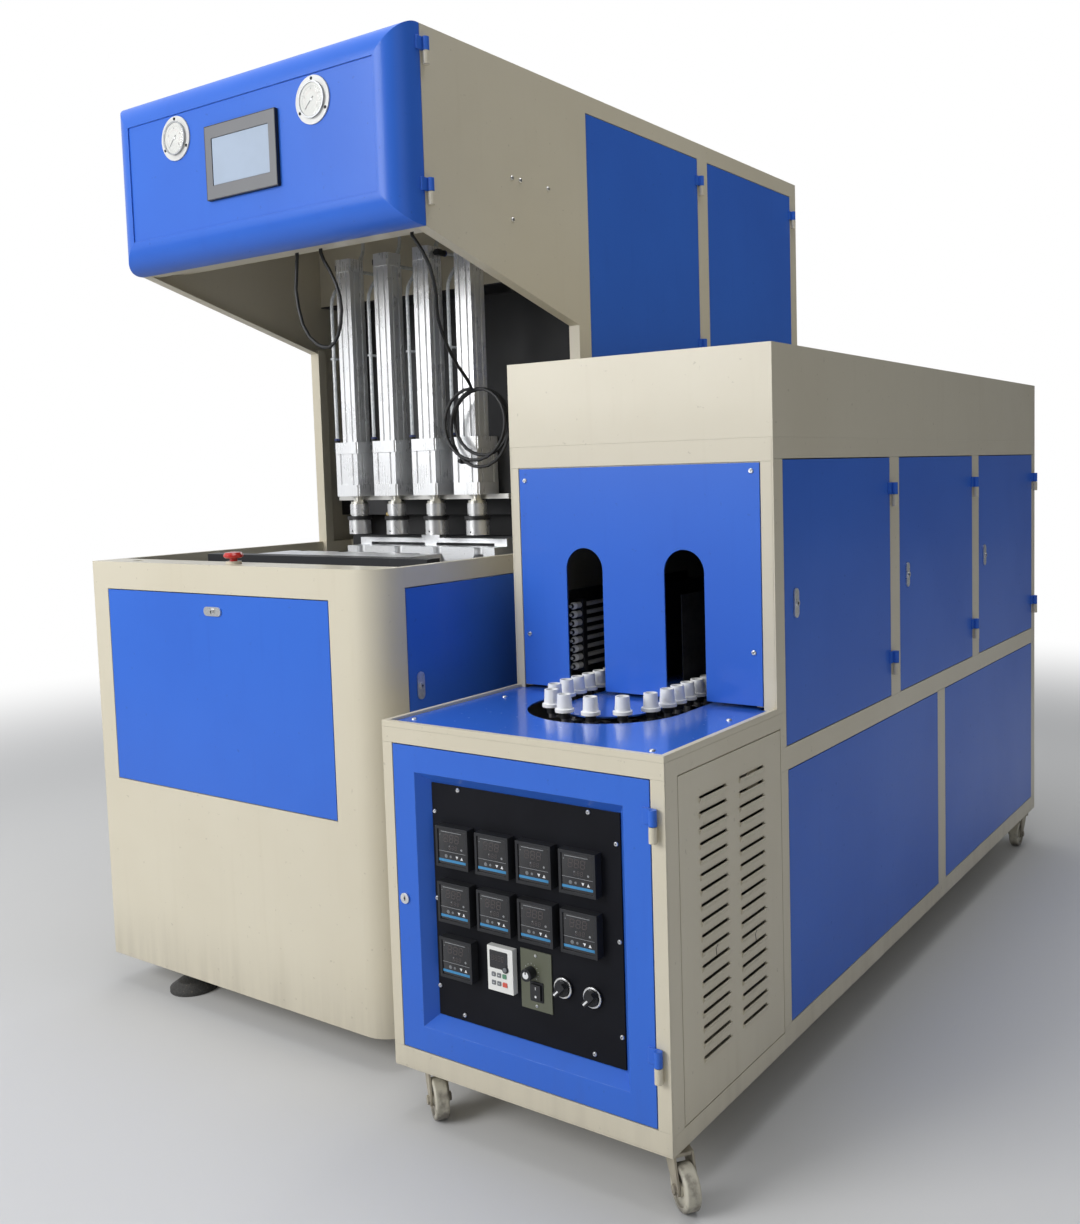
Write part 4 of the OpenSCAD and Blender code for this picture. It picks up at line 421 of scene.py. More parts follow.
keyRed = plain("keyRed", (0.62, 0.1, 0.07), 0.4)
whitePrint = plain("whitePrint", (0.78, 0.79, 0.8), 0.45)
dimPrint = plain("dimPrint", (0.26, 0.27, 0.28), 0.45)
bluePrint = plain("bluePrint", (0.04, 0.235, 0.47), 0.38)
dimDigit = plain("dimDigit", (0.06, 0.046, 0.046), 0.3)
meterPane = plain("meterPane", (0.01, 0.01, 0.012), 0.16, **{"Coat Weight": 0.4})
dialPaper = plain("dialPaper", (0.78, 0.77, 0.72), 0.5)
markBlack = plain("markBlack", (0.012, 0.012, 0.014), 0.5)
screenPane = plain("screenPane", (0.38, 0.46, 0.58), 0.14, **{"Coat Weight": 0.8, "Coat Roughness": 0.04})
collarNavy = plain("collarNavy", (0.03, 0.045, 0.16), 0.35)
lampCeramic = plain("lampCeramic", (0.9, 0.89, 0.86), 0.45)
print("metals and plastics made")


# Clear things: air tube and the gauges' panes
def clearStuff(g, place, spec):
    haze = g.noise(place, spec["grain"], 3)
    return {"Base Color": g.join(spec["light"], spec["dark"], haze.ramp(0.35, 0.7)),
            "Roughness": spec["rough"] + haze.ramp(0.3, 0.7) * 0.08, "Alpha": spec["alpha"], "IOR": 1.45,
            "Coat Weight": 0.6, "Coat Roughness": 0.06, "Normal": g.bump(haze, 0.04, 0.0002)}


airTubeClear = finishOf("airTubeClear", clearStuff, {
    "light": (0.9, 0.93, 0.94), "dark": (0.7, 0.75, 0.78), "grain": 120, "rough": 0.18, "alpha": 0.7})
gaugeGlass = finishOf("gaugeGlass", clearStuff, {
    "light": (0.9, 0.92, 0.92), "dark": (0.84, 0.87, 0.88), "grain": 30, "rough": 0.04, "alpha": 0.16})


# Quartz lamps: a pale tube with the turns of its filament
def quartzTube(g, place, spec):
    coil = (g.axis(place, 1) * spec["turns"]).maths("SINE").ramp(-0.4, 0.9)
    return {"Base Color": g.join(spec["tube"], spec["filament"], coil),
            "Roughness": g.noise(place, 60).ramp(0.3, 0.7, 0.12, 0.24),
            "Coat Weight": 0.8, "Coat Roughness": 0.03, "Normal": g.bump(coil, 0.1, 0.0002)}


lampQuartz = finishOf("lampQuartz", quartzTube, {
    "tube": (0.72, 0.7, 0.66), "filament": (0.46, 0.44, 0.42), "turns": 1900})


# Preform carriers: a black foot and a white cup from one height up
def footAndCup(g, place, spec):
    cup = g.axis(place, 2) > spec["footTop"]
    worn = g.noise(place, 70, 3)
    tint = g.join(spec["foot"], spec["cup"], cup)
    tint = g.join(tint, spec["worn"], worn.ramp(0.6, 0.8) * 0.25 * cup)
    return {"Base Color": tint, "Roughness": worn.ramp(0.3, 0.7, 0.3, 0.42),
            "Normal": g.bump(worn, 0.05, 0.0003, g.rounded(0.0008))}


carrierPlastic = finishOf("carrierPlastic", footAndCup, {
    "footTop": 0.757, "foot": (0.015, 0.015, 0.017), "cup": (0.92, 0.92, 0.9), "worn": (0.42, 0.4, 0.36)})


# Caster wheels: hard cream nylon with stains, darker towards the floor
def stainedNylon(g, place, spec):
    stains = g.noise(place, 38, 5)
    fine = g.noise(place, 300, 3)
    tint = g.join(spec["clean"], spec["stained"], stains.ramp(0.46, 0.68) * 0.9)
    # Darker towards the floor over the lowest 3 cm
    tint = g.join(tint, spec["tread"], g.axis(place, 2).ramp(0.03, 0.0) * 0.8)
    return {"Base Color": tint, "Roughness": stains.ramp(0.4, 0.7, 0.45, 0.7),
            "Normal": g.bump(fine + stains * 3, 0.25, 0.0006, g.rounded(0.002))}


casterNylon = finishOf("casterNylon", stainedNylon, {
    "clean": (0.52, 0.49, 0.4), "stained": (0.2, 0.18, 0.15), "tread": (0.12, 0.11, 0.1)})


# One node in several finishes: boxes in millimetres from a corner, each with its colour, sheen and metal
def parted(g, place, spec):
    grain = g.noise(place, spec.get("grain", 700), 2)
    haze = g.noise(place, 12, 3)
    tint, rough, metal = spec["base"]
    coloured = g.join(tint, tuple(c * 0.85 for c in tint), haze.ramp(0.35, 0.7))
    for corner, lows, highs, boxTint, boxRough, boxMetal in spec["boxes"]:
        inside = 1.0
        for i in range(3):
            along = g.axis(place, i)
            if lows[i] is not None:
                inside = (along > corner[i] + lows[i] / 1000) * inside
            if highs[i] is not None:
                inside = (along < corner[i] + highs[i] / 1000) * inside
        coloured = g.join(coloured, boxTint, inside)
        rough = inside * (boxRough - rough) + rough
        metal = inside * (boxMetal - metal) + metal
    return {"Base Color": coloured, "Roughness": rough + haze.ramp(0.3, 0.7) * 0.06, "Metallic": metal,
            "Normal": g.bump(grain, 0.08, 0.0003, g.rounded(0.0006))}


free = (None, None, None)
gaugeBodies = finishOf("gaugeBodies", parted, {"base": ((0.7, 0.7, 0.68), 0.3, 0.0), "boxes": [
    (deskCorner, free, (None, 113.6, None), (0.42, 0.43, 0.44), 0.28, 0.7)]})
screenBezel = finishOf("screenBezel", parted, {"base": ((0.012, 0.012, 0.013), 0.4, 0.0), "boxes": [
    (deskCorner, (348.5, None, 1819), (574.5, 109.0, 1975), (0.15, 0.152, 0.16), 0.45, 0.0)]})
driveFronts = finishOf("driveFronts", parted, {"base": ((0.014, 0.014, 0.016), 0.38, 0.0), "boxes": [
    (heaterCorner, free, (285, None, None), (0.76, 0.76, 0.73), 0.34, 0.0),
    (heaterCorner, (288, 19.5, 270), (356, None, 385), (0.105, 0.112, 0.075), 0.42, 0.0)]})
nozzleSteel = finishOf("nozzleSteel", parted, {
    "base": ((0.84, 0.84, 0.84), 0.24, 0.65), "grain": 1400, "boxes": [
    (deskCorner, (None, None, 1085.5), (None, None, 1095.5), (0.016, 0.016, 0.017), 0.42, 0.0),
    (deskCorner, (None, None, 1126.5), free, (0.78, 0.76, 0.68), 0.26, 1.0)]})
# The cylinder bench and the screen behind the cylinders are near black, painted shade of the dark head
# interior; only the front edge of the mounting plate is bright steel
benchSteel = finishOf("benchSteel", parted, {"base": ((0.018, 0.018, 0.02), 0.42, 0.0), "boxes": [
    (deskCorner, (None, None, 1134), (None, 655, 1150), (0.6, 0.59, 0.56), 0.32, 0.6)]})

finishOfSlot = {
    "cream_paint": creamEnamel, "blue_paint": blueEnamel, "black_paint": blackEnamel, "dark_iron": padIron,
    "alloy": machinedAlloy, "bright_steel": platedSteel, "dark_steel": oiledSteel,
    "black_plastic": blackPlastic, "white_plastic": whitePlastic, "red_plastic": redPlastic,
    "clear_tube": airTubeClear, "black_rubber": cableSheath, "lamp_glass": lampQuartz,
    "caster_nylon": casterNylon}
finishOfNode = {
    "air_cylinders": barrelAlloy, "lamp_racks": ovenSteel, "table_plates": tableEnamel,
    "tie_bars": groundSteel, "stretch_rods": groundSteel, "blow_nozzles": nozzleSteel,
    "cylinder_bench": benchSteel, "control_plate": plateBlack, "preform_carriers": carrierPlastic,
    "touch_screen": screenBezel, "pressure_gauges": gaugeBodies, "drive_controls": driveFronts,
    "caster_plates": casterCream, **{f"caster_fork_{i}": casterCream for i in (1, 2, 3, 4)}}
for part in frame["record"]["subparts"]:
    piece = nodes[part["node"]]
    finish = finishOfNode.get(part["node"], finishOfSlot[part["material_slot"]])
    piece.data.materials.clear()
    piece.data.materials.append(finish)
for piece, finish in ((cableLoop, cableSheath), (cableDrop, cableSheath), (cablePlug, blackPlastic)):
    piece.data.materials.append(finish)
print("sheet metal and castings finished")


# A ray tells where a small part sits on the sheet metal
feelers = {}


def touch(node, start, towards):
    if node not in feelers:
        feelers[node] = BVHTree.FromObject(nodes[node], bpy.context.evaluated_depsgraph_get())
    place = feelers[node].ray_cast(start, Vector(towards))[0]
    if place is None:
        raise ValueError(f"nothing of {node} lies in front of {tuple(start)}")
    return place


# Flat outlines: lists of points in a plane, X to the right and Y up as seen from the front
def box(x0, x1, y0, y1):
    return [(x0, y0), (x1, y0), (x1, y1), (x0, y1)]


def disc(x, y, radius, steps=32, start=0.0, sweep=360.0):
    count = steps if sweep == 360 else steps + 1
    angles = [radians(start + sweep * i / steps) for i in range(count)]
    return [(x + radius * cos(a), y + radius * sin(a)) for a in angles]


def roundBox(x0, x1, y0, y1, radius, steps=5):
    corners = [(x1 - radius, y0 + radius, -90), (x1 - radius, y1 - radius, 0),
               (x0 + radius, y1 - radius, 90), (x0 + radius, y0 + radius, 180)]
    return [p for x, y, a in corners for p in disc(x, y, radius, steps, a, 90)]


# Thin plates with slightly rounded rims: each outline's back on the plane, its face at the given height
def plates(name, outlines, height, place, finish, body, rim=0.3, sink=0.4):
    bm = bmesh.new()
    for outline in outlines:
        middle = Vector((sum(p[0] for p in outline), sum(p[1] for p in outline))) / len(outline)
        reach = max((Vector(p) - middle).length for p in outline)
        rings = []
        for inset, level in ((0, -sink), (0, height - rim), (rim * 0.3, height - rim * 0.3), (rim, height)):
            shrink = 1 - inset / reach
            rings.append([bm.verts.new((middle.x + (p[0] - middle.x) * shrink,
                                        middle.y + (p[1] - middle.y) * shrink, level)) for p in outline])
        for low, high in zip(rings, rings[1:]):
            for i in range(len(outline)):
                j = (i + 1) % len(outline)
                bm.faces.new((low[i], low[j], high[j], high[i]))
        bm.faces.new(rings[-1])
        bm.faces.new(rings[0][::-1])
    mesh = meshFrom(bm, name)
    mesh.transform(place @ Matrix.Scale(0.001, 4))
    piece = newPiece(name, mesh, finish)
    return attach(piece, body) if body else piece


def onFront(corner, x, y, z):
    return Matrix.Translation(corner(x, y, z)) @ turnBy(90, "X")


# Node plans for what repeats
class Plan(Graph):
    family = "GeometryNode"

    def __init__(self, name, inputs, build):
        tree = bpy.data.node_groups.new(name, "GeometryNodeTree")
        super().__init__(tree)
        self.made = tree
        tree.interface.new_socket("Geometry", in_out="INPUT", socket_type="NodeSocketGeometry")
        tree.interface.new_socket("Geometry", in_out="OUTPUT", socket_type="NodeSocketGeometry")
        for label, value in inputs.items():
            kind = {float: "Float", int: "Int"}.get(type(value), "Object")
            socket = tree.interface.new_socket(label, in_out="INPUT", socket_type="NodeSocket" + kind)
            if value is not None:
                socket.default_value = value
        tree.interface.new_socket("Finish", in_out="INPUT", socket_type="NodeSocketMaterial")
        start = self.add("NodeGroupInput")
        shape = build(self, start)
        shape = self.add("RealizeInstances", {0: shape})
        shape = self.add("SetMaterial", {"Geometry": shape, "Material": start["Finish"]})
        self.add("NodeGroupOutput", {0: shape})

    def attribute(self, name, kind="FLOAT"):
        return self.add("InputNamedAttribute", {"data_type": kind}, {"Name": name})

    def bake(self, name, mesh, values, body=None, place=None, angle=32):
        holder = newPiece(name + "Plan", mesh)
        live = holder.modifiers.new("plan", "NODES")
        live.node_group = self.made
        for item in self.made.interface.items_tree:
            if item.in_out == "INPUT" and item.name in values:
                live[item.identifier] = values[item.name]
        result = asMesh(holder)
        bpy.data.objects.remove(holder)
        result.name = name
        result.materials.clear()
        result.materials.append(values["Finish"])
        for spare in [a for a in result.attributes if a.name in ("facing", "turn")]:
            result.attributes.remove(spare)
        if place:
            result.transform(place)
        piece = softened(newPiece(name, result), angle)
        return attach(piece, body) if body else piece


def spots(name, places):
    mesh = bpy.data.meshes.new(name)
    mesh.from_pydata([tuple(p[0]) for p in places], [], [])
    mesh.attributes.new("facing", "FLOAT_VECTOR", "POINT")
    mesh.attributes.new("turn", "FLOAT", "POINT")
    for i, spot in enumerate(places):
        mesh.attributes["facing"].data[i].vector = spot[1]
        mesh.attributes["turn"].data[i].value = radians(spot[2] if len(spot) > 2 else 0)
    return mesh


def setOut(g, start):
    facing = g.attribute("facing", "FLOAT_VECTOR")
    face = g.add("FunctionNodeAlignRotationToVector", {"axis": "Z"}, {"Vector": facing})
    spin = g.add("FunctionNodeAxisAngleToRotation", {"Axis": (0, 0, 1), "Angle": g.attribute("turn")})
    stand = g.add("FunctionNodeRotateRotation", {"rotation_space": "LOCAL"},
                  {"Rotation": face, "Rotate By": spin})
    shape = g.add("ObjectInfo", {"transform_space": "ORIGINAL"},
                  {"Object": start["Pattern"]})["Geometry"]
    return g.add("InstanceOnPoints",
                 {"Points": start, "Instance": shape, "Rotation": stand})


# A pan head with a cross recess
def screwHead(g, start):
    height, recess = start["Height"], start["Recess"]
    barrel = g.add("MeshCylinder", {"fill_type": "NGON"},
                   {"Vertices": 24, "Side Segments": 3, "Radius": start["Head"] * 0.5, "Depth": height})
    lift = g.add("ShaderNodeCombineXYZ", {2: height * 0.5})
    barrel = g.add("Transform", {"Geometry": barrel, "Translation": lift})
    where = g.add("InputPosition")
    inwards = g.add("ShaderNodeVectorMath", {"operation": "MULTIPLY"}, {0: where, 1: (-1.0, -1.0, 0.0)})
    strength = (g.axis(where, 2) / height) ** 2.5 * start["Dome"]
    domed = g.add("ShaderNodeVectorMath", {"operation": "SCALE"}, {0: inwards, "Scale": strength})
    barrel = g.add("SetPosition", {"Geometry": barrel, "Offset": domed})
    barSize = g.add("ShaderNodeCombineXYZ", {0: recess, 1: recess * 0.24, 2: height})
    up = g.add("ShaderNodeCombineXYZ", {2: height * 1.05})
    first = g.add("Transform", {"Geometry": g.add("MeshCube", {"Size": barSize}), "Translation": up})
    across = g.add("FunctionNodeEulerToRotation", {0: (0, 0, pi / 2)})
    second = g.add("Transform", {"Geometry": first, "Rotation": across})
    cut = g.add("MeshBoolean", {"operation": "DIFFERENCE"}, {"Mesh 1": barrel})
    for tool in (first, second):
        g.tree.links.new(tool.socket, cut.socket.node.inputs["Mesh 2"])
    return cut


setOutPlan = Plan("setOut", {"Pattern": None}, setOut)
screwPlan = Plan("screwHead", {"Head": 0.008, "Height": 0.002, "Dome": 0.3, "Recess": 0.0045}, screwHead)


# Sets a pattern out on its places and drops it
def repeat(name, pattern, places, finish, body):
    setOutPlan.bake(name, spots(name, places), {"Pattern": pattern, "Finish": finish}, body)
    bpy.data.objects.remove(pattern)


def screws(name, places, size, finish, body):
    head = screwPlan.bake(name + "Head", bpy.data.meshes.new(name + "Head"), {**size, "Finish": finish})
    repeat(name, head, places, finish, body)


turns = random.Random(7)
# Screws: head diameter, height and recess in metres
panHead = {"Head": 0.0085, "Height": 0.0022, "Dome": 0.3, "Recess": 0.0048}
smallHead = {"Head": 0.0056, "Height": 0.0016, "Dome": 0.3, "Recess": 0.0032}
sheetHead = {"Head": 0.0105, "Height": 0.0028, "Dome": 0.34, "Recess": 0.006}
plateScrews = [(158, 639), (439, 639), (102, 594), (493, 594), (100, 433), (495, 431), (99, 269), (495, 270),
               (156, 226), (439, 227)]
# Their places in a plane: the axis across it, where along that axis a ray starts, and the other two measures
screwRows = (
    ("plateScrews", "control_plate", atHeater, 1, -50, plateScrews, panHead, "control_door"),
    ("speedScrews", "drive_controls", atHeater, 1, -50, [(322, 372), (322, 283)], smallHead, "control_door"),
    ("tableScrews", "table_plates", atHeater, 2, 900, [(35, 49), (52, 295), (556, 299), (554, 41)], sheetHead,
     "machine"),
    ("ovenScrews", "oven_panels", atHeater, 1, 200, [(37, 1181), (555, 1190), (38, 863), (555, 856)],
     sheetHead, "machine"),
    ("headScrews", "head_shell", atDesk, 0, 1100, [(466, 1843), (496, 1843), (599, 1843), (465, 1753)],
     sheetHead, "machine"))
ways = ((-1, 0, 0), (0, 1, 0), (0, 0, -1))
for name, node, corner, axis, start, pairs, size, body in screwRows:
    starts = [corner(*pair[:axis], start, *pair[axis:]) for pair in pairs]
    screws(name, [(touch(node, place, ways[axis]), -Vector(ways[axis]), turns.uniform(0, 90))
                  for place in starts], size, platedSteel, body)
print("screws set")

# Power meters: dim digits, a thin line, key marks and a blue stripe on every pane
meterGrid = {"across": 4, "first": (117, 501), "step": (90.4, 102), "width": 74, "pane": 5.5, "count": 9}
meterCorners = [(meterGrid["first"][0] + (i % meterGrid["across"]) * meterGrid["step"][0],
                 meterGrid["first"][1] - (i // meterGrid["across"]) * meterGrid["step"][1])
                for i in range(meterGrid["count"])]
meterHalf = meterGrid["width"] / 2
meterSpots = [(atHeater(x + meterHalf, meterGrid["pane"], z + meterHalf), (0, -1, 0))
              for x, z in meterCorners]
flatPlace = Matrix.Identity(4)


def digitEight(x, y, wide, high, bar, slant=0.12):
    half = high / 2
    strokes = [box(bar, wide - bar, 0, bar), box(bar, wide - bar, half - bar / 2, half + bar / 2),
               box(bar, wide - bar, high - bar, high)]
    strokes += [box(sx, sx + bar, sy, sy + half - 1.5 * bar) for sx in (0, wide - bar)
                for sy in (bar, half + bar / 2)]
    return [[(x + px + py * slant, y + py) for px, py in stroke] for stroke in strokes]


def meterPieces(name, outlines, height, finish):
    master = plates(name + "Master", outlines, height, flatPlace, finish, None, rim=0.05, sink=0.05)
    repeat(name, master, meterSpots, finish, "control_door")


meterPieces("meterPanes", [roundBox(-31.6, 31.6, -31.6, 31.6, 2)], 0.25, meterPane)
meterPieces("meterDigits", [s for k in range(3) for s in digitEight(-19 + 12.5 * k, 9, 9.5, 15, 1.5)]
            + [s for k in range(3) for s in digitEight(-8 + 7 * k, -3.5, 5.0, 8, 0.9)], 0.32, dimDigit)
meterPieces("meterLines", [box(-31, 31, -8.2, -7.4), box(-25, 22, 27.2, 28.4), disc(-27, 22, 0.9, 10),
                           disc(-6, 2.5, 1.1, 12), disc(22, -1, 2.1, 12)], 0.34, dimPrint)
meterPieces("meterStripes", [box(-31, 31, -26.5, -21.8)], 0.34, bluePrint)
meterPieces("meterArrows", [[(8, -13.6), (14, -13.6), (11, -19)], [(19, -19), (25, -19), (22, -13.6)]], 0.34,
            whitePrint)
meterPieces("meterRings", [disc(-14, -16.2, 3.4, 20), disc(-3.5, -16.2, 2.4, 16)], 0.33, keyGrey)

# Keypad of the drive
pad = {"corner": (223, 295), "face": 10}
smallKeys = [(9, 26), (21, 26), (9, 11), (21, 11)]


def padPlate(name, outlines, finish, height=0.6, rim=0.3):
    moved = [[(x + pad["corner"][0], y + pad["corner"][1]) for x, y in outline] for outline in outlines]
    return plates(name, moved, height, onFront(atHeater, 0, pad["face"], 0), finish, "control_door", rim)


padPlate("keypadDisplay", [roundBox(5, 45, 41, 73, 2)], meterPane, 0.5)
padPlate("keypadDigits", [s for k in range(4) for s in digitEight(9 + 7.2 * k, 55, 5.2, 10, 0.9)], dimDigit,
         0.62, 0.05)
padPlate("keypadDialRing", [disc(40, 43, 6.6, 28)], blackPlastic, 2.2, 0.8)
padPlate("keypadDial", [disc(40, 43, 4.2, 24)], keyGrey, 3.0, 0.6)
padPlate("keypadKeys", [roundBox(x, x + 8.5, z, z + 8, 1.2) for x, z in smallKeys], keyGrey, 1.2)
padPlate("keypadGreenKey", [roundBox(33, 41.5, 26, 34, 1.2)], keyGreen, 1.2)
padPlate("keypadRedKey", [roundBox(33, 43, 11, 19, 1.2)], keyRed, 1.2)
padPlate("keypadKeyMarks", [box(x + 2.5, x + 6, z + 3.4, z + 4.4) for x, z in smallKeys], whitePrint,
         1.4, 0.05)

# Speed plate: rocker frame, scale round the knob and the knob's white face
speed = {"knob": (312, 341), "knobFace": 3, "face": 20, "rocker": (313, 333, 295, 322), "rockerRim": 4,
         "rockerFace": 15}


def dialTicks(g, start):
    count = start["Count"]
    line = g.add("MeshLine", {"mode": "OFFSET"}, {"Count": count, "Offset": (0, 0, 0)})
    index = g.add("InputIndex")
    angle = start["Start"] + index * (start["Sweep"] / (count - 1))
    radius = start["Radius"]
    spot = g.add("ShaderNodeCombineXYZ", {0: angle.maths("COSINE") * radius,
                                              1: angle.maths("SINE") * radius, 2: start["Height"]})
    line = g.add("SetPosition", {"Geometry": line, "Position": spot})
    long = (index.maths("MODULO", start["Long Every"]) < 0.5) * start["Long"] + 1.0
    tick = g.add("MeshGrid", {"Size X": start["Length"], "Size Y": start["Width"],
                                              "Vertices X": 2, "Vertices Y": 2})
    spin = g.add("FunctionNodeAxisAngleToRotation", {"Axis": (0, 0, 1), "Angle": angle})
    grown = g.add("ShaderNodeCombineXYZ", {0: long, 1: 1.0, 2: 1.0})
    return g.add("InstanceOnPoints", {"Points": line, "Instance": tick, "Rotation": spin, "Scale": grown})


sweep = {"Start": radians(225), "Sweep": radians(-270)}
tickPlan = Plan("dialTicks", {"Count": 31, **sweep, "Radius": 0.026, "Height": 0.0005, "Length": 0.0025,
                              "Width": 0.0005, "Long": 0.8, "Long Every": 5}, dialTicks)


def ticks(name, place, values, finish, body):
    return tickPlan.bake(name, bpy.data.meshes.new(name + "Seed"), {**values, "Finish": finish}, body, place)


ticks("speedScale", onFront(atHeater, speed["knob"][0], speed["face"] - 0.15, speed["knob"][1]),
      {"Count": 11, "Radius": 0.0148, "Height": 0.0, "Length": 0.0018, "Width": 0.0006, "Long": 0.5},
      whitePrint, "control_door")
plates("speedKnobFace", [disc(0, 0, 6.2, 32)], 0.6,
       onFront(atHeater, speed["knob"][0], speed["knobFace"], speed["knob"][1]), whitePrint, "speed_knob")
x0, x1, z0, z1 = speed["rocker"]
rim = speed["rockerRim"]
bars = ((x0 - rim, x1 + rim, z0 - rim, z0), (x0 - rim, x1 + rim, z1, z1 + rim),
        (x0 - rim, x0, z0 - 1, z1 + 1), (x1, x1 + rim, z0 - 1, z1 + 1))
plates("rockerFrame", [roundBox(*bar, 1) for bar in bars], 1.6, onFront(atHeater, 0, speed["face"], 0),
       blackPlastic, "control_door", rim=0.5)
middle = (x0 + x1) / 2
plates("rockerMarks", [disc(middle, z0 + 6, 2.2, 16), box(middle - 0.5, middle + 0.5, z1 - 9, z1 - 4)], 0.12,
       onFront(atHeater, 0, speed["rockerFace"], 0), whitePrint, "control_door", rim=0.02)

# Selectors: a bright collar and the lever's white mark
selector = {"places": {"left": (380, 329), "right": (440, 326)}, "lean": 45, "foot": 18,
            "mark": (-1.5, 1.5, -13.2, -1.0), "collar": [(14.2, 0.2), (18.2, 0.0), (18.2, 1.2), (17.4, 2.2),
                                                         (15.0, 2.4), (14.3, 1.8), (14.2, 0.2)]}
for side, (x, z) in selector["places"].items():
    turned("selectorCollar" + side.title(), selector["collar"], onFront(atHeater, x, selector["foot"], z),
           platedSteel, "control_door")
    leverFace = (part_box("selector_" + side)[0].y - heaterCorner.y) * 1000
    mark = Matrix.Translation(atHeater(x, leverFace, z)) @ turnBy(selector["lean"], "Y") @ turnBy(90, "X")
    plates("selectorMark" + side.title(), [roundBox(*selector["mark"], 0.6)], 0.25, mark, whitePrint,
           "selector_" + side, rim=0.1)
print("control plate finished")

# Pressure gauges: paper dial, scale, figures, needle and pane
gauge = {"places": {"Left": 238.5, "Right": 684.5}, "z": 1973, "dial": 112,
         "needle": {"Left": 135, "Right": 131}, "figures": 0.0062, "figureRing": 0.0215,
         "figureRise": 0.0006, "screwRing": 43, "rim": 114}
gaugeScrew = {"Head": 0.0068, "Height": 0.0016, "Dome": 0.3, "Recess": 0.0038}
for tag, x in gauge["places"].items():
    place = onFront(atDesk, x, gauge["dial"], gauge["z"])
    plates("gaugeDial" + tag, [disc(0, 0, 33.6, 64)], 0.4, place, dialPaper, "cover", rim=0.1)
    ticks("gaugeScale" + tag, place, {"Count": 41, "Radius": 0.0265, "Length": 0.0026, "Long": 0.9},
          markBlack, "cover")
    ticks("gaugeInner" + tag, place, {"Count": 28, "Radius": 0.0185, "Length": 0.0012, "Width": 0.0006,
                                      "Long": 0.6, "Long Every": 3}, keyRed, "cover")
    lean = radians(gauge["needle"][tag] + 90)
    needle = [(cos(lean) * a - sin(lean) * b, sin(lean) * a + cos(lean) * b)
              for a, b in ((-8, -1.6), (25, -0.35), (25, 0.35), (-8, 1.6))]
    plates("gaugeNeedle" + tag, [needle], 1.3, place, markBlack, "cover", rim=0.1, sink=-1.0)
    turned("gaugeHub" + tag, [(3.2, 0.3), (3.2, 1.6), (2.4, 2.1), (0, 2.3)], place, platedSteel, "cover")
    turned("gaugePane" + tag, [(34.2, 2.5), (34.2, 2.9), (33, 3.3), (20, 3.9), (0, 4.2)], place, gaugeGlass,
           "cover", 64, 60)
    bm = bmesh.new()
    for k in range(0, 9, 2):
        a = radians(225 - 270 * k / 8)
        text = bpy.data.curves.new("figure", "FONT")
        text.body, text.size, text.align_x, text.align_y = str(k), gauge["figures"], "CENTER", "CENTER"
        text.extrude = 0.00005
        holder = newPiece("figure", text)
        flat = asMesh(holder)
        flat.transform(place @ Matrix.Translation((gauge["figureRing"] * cos(a),
                                                   gauge["figureRing"] * sin(a), gauge["figureRise"])))
        bpy.data.objects.remove(holder)
        bm.from_mesh(flat)
    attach(newPiece("gaugeFigures" + tag, meshFrom(bm, "gaugeFigures" + tag, False), markBlack), "cover")
    spread = [(atDesk(x + gauge["screwRing"] * cos(radians(a)), gauge["rim"],
                      gauge["z"] + gauge["screwRing"] * sin(radians(a))), (0, -1, 0), a)
              for a in (90, 210, 330)]
    screws("gaugeScrews" + tag, spread, gaugeScrew, blackPlastic, "cover")

# Touch screen's pane
plates("touchPane", [roundBox(369.2, 553.8, 1847.8, 1948.2, 1.5)], 0.5, onFront(atDesk, 0, 110, 0),
       screenPane, "cover")
print("head cover finished")

# Lamp ends: a ceramic cap, a black neck that is painted shade of the gap between cap and bead, a steel bead and
# a bare wire that runs out to the terminal strip
lampRow = {"lanes": (120, 470), "low": 794, "step": 18, "count": 8, "wireOut": 44, "wireThick": 0.0021}
lampFront = (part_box("lamps")[0].y - heaterCorner.y) * 1000
lampEnds = [(x, lampFront, lampRow["low"] + lampRow["step"] * i) for x in lampRow["lanes"]
            for i in range(lampRow["count"])]
lampLayers = {
    "lampCaps": (lampCeramic, [(0, -1), (6.4, -1), (7.4, 0), (7.6, 7), (7.0, 8.4), (5.6, 9.2), (0, 9.2)]),
    "lampNecks": (blackPlastic, [(0, 8.6), (4.6, 8.6), (4.6, 13.6), (3.4, 14.2), (0, 14.2)]),
    "lampBeads": (tinnedWire, [(0, 13.8), (2.4, 13.9), (3.4, 15.4), (3.4, 16.6), (2.4, 18.2), (0, 18.4)])}
for name, (finish, profile) in lampLayers.items():
    pattern = turned(name + "Master", profile, flatPlace, finish, None, 20)
    repeat(name, pattern, [(atHeater(x, y, z), (0, -1, 0)) for x, y, z in lampEnds], finish, "machine")


def wireRun(g, start):
    line = g.add("MeshToCurve", {0: start})
    line = g.add("SetCurveRadius", {"Curve": line, "Radius": 1.0})
    ring = g.add("CurvePrimitiveCircle", {"Resolution": 8, "Radius": start["Thickness"] * 0.5})
    return g.add("CurveToMesh", {"Curve": line, "Profile Curve": ring, "Fill Caps": True})


wirePlan = Plan("wireRun", {"Thickness": 0.0016}, wireRun)


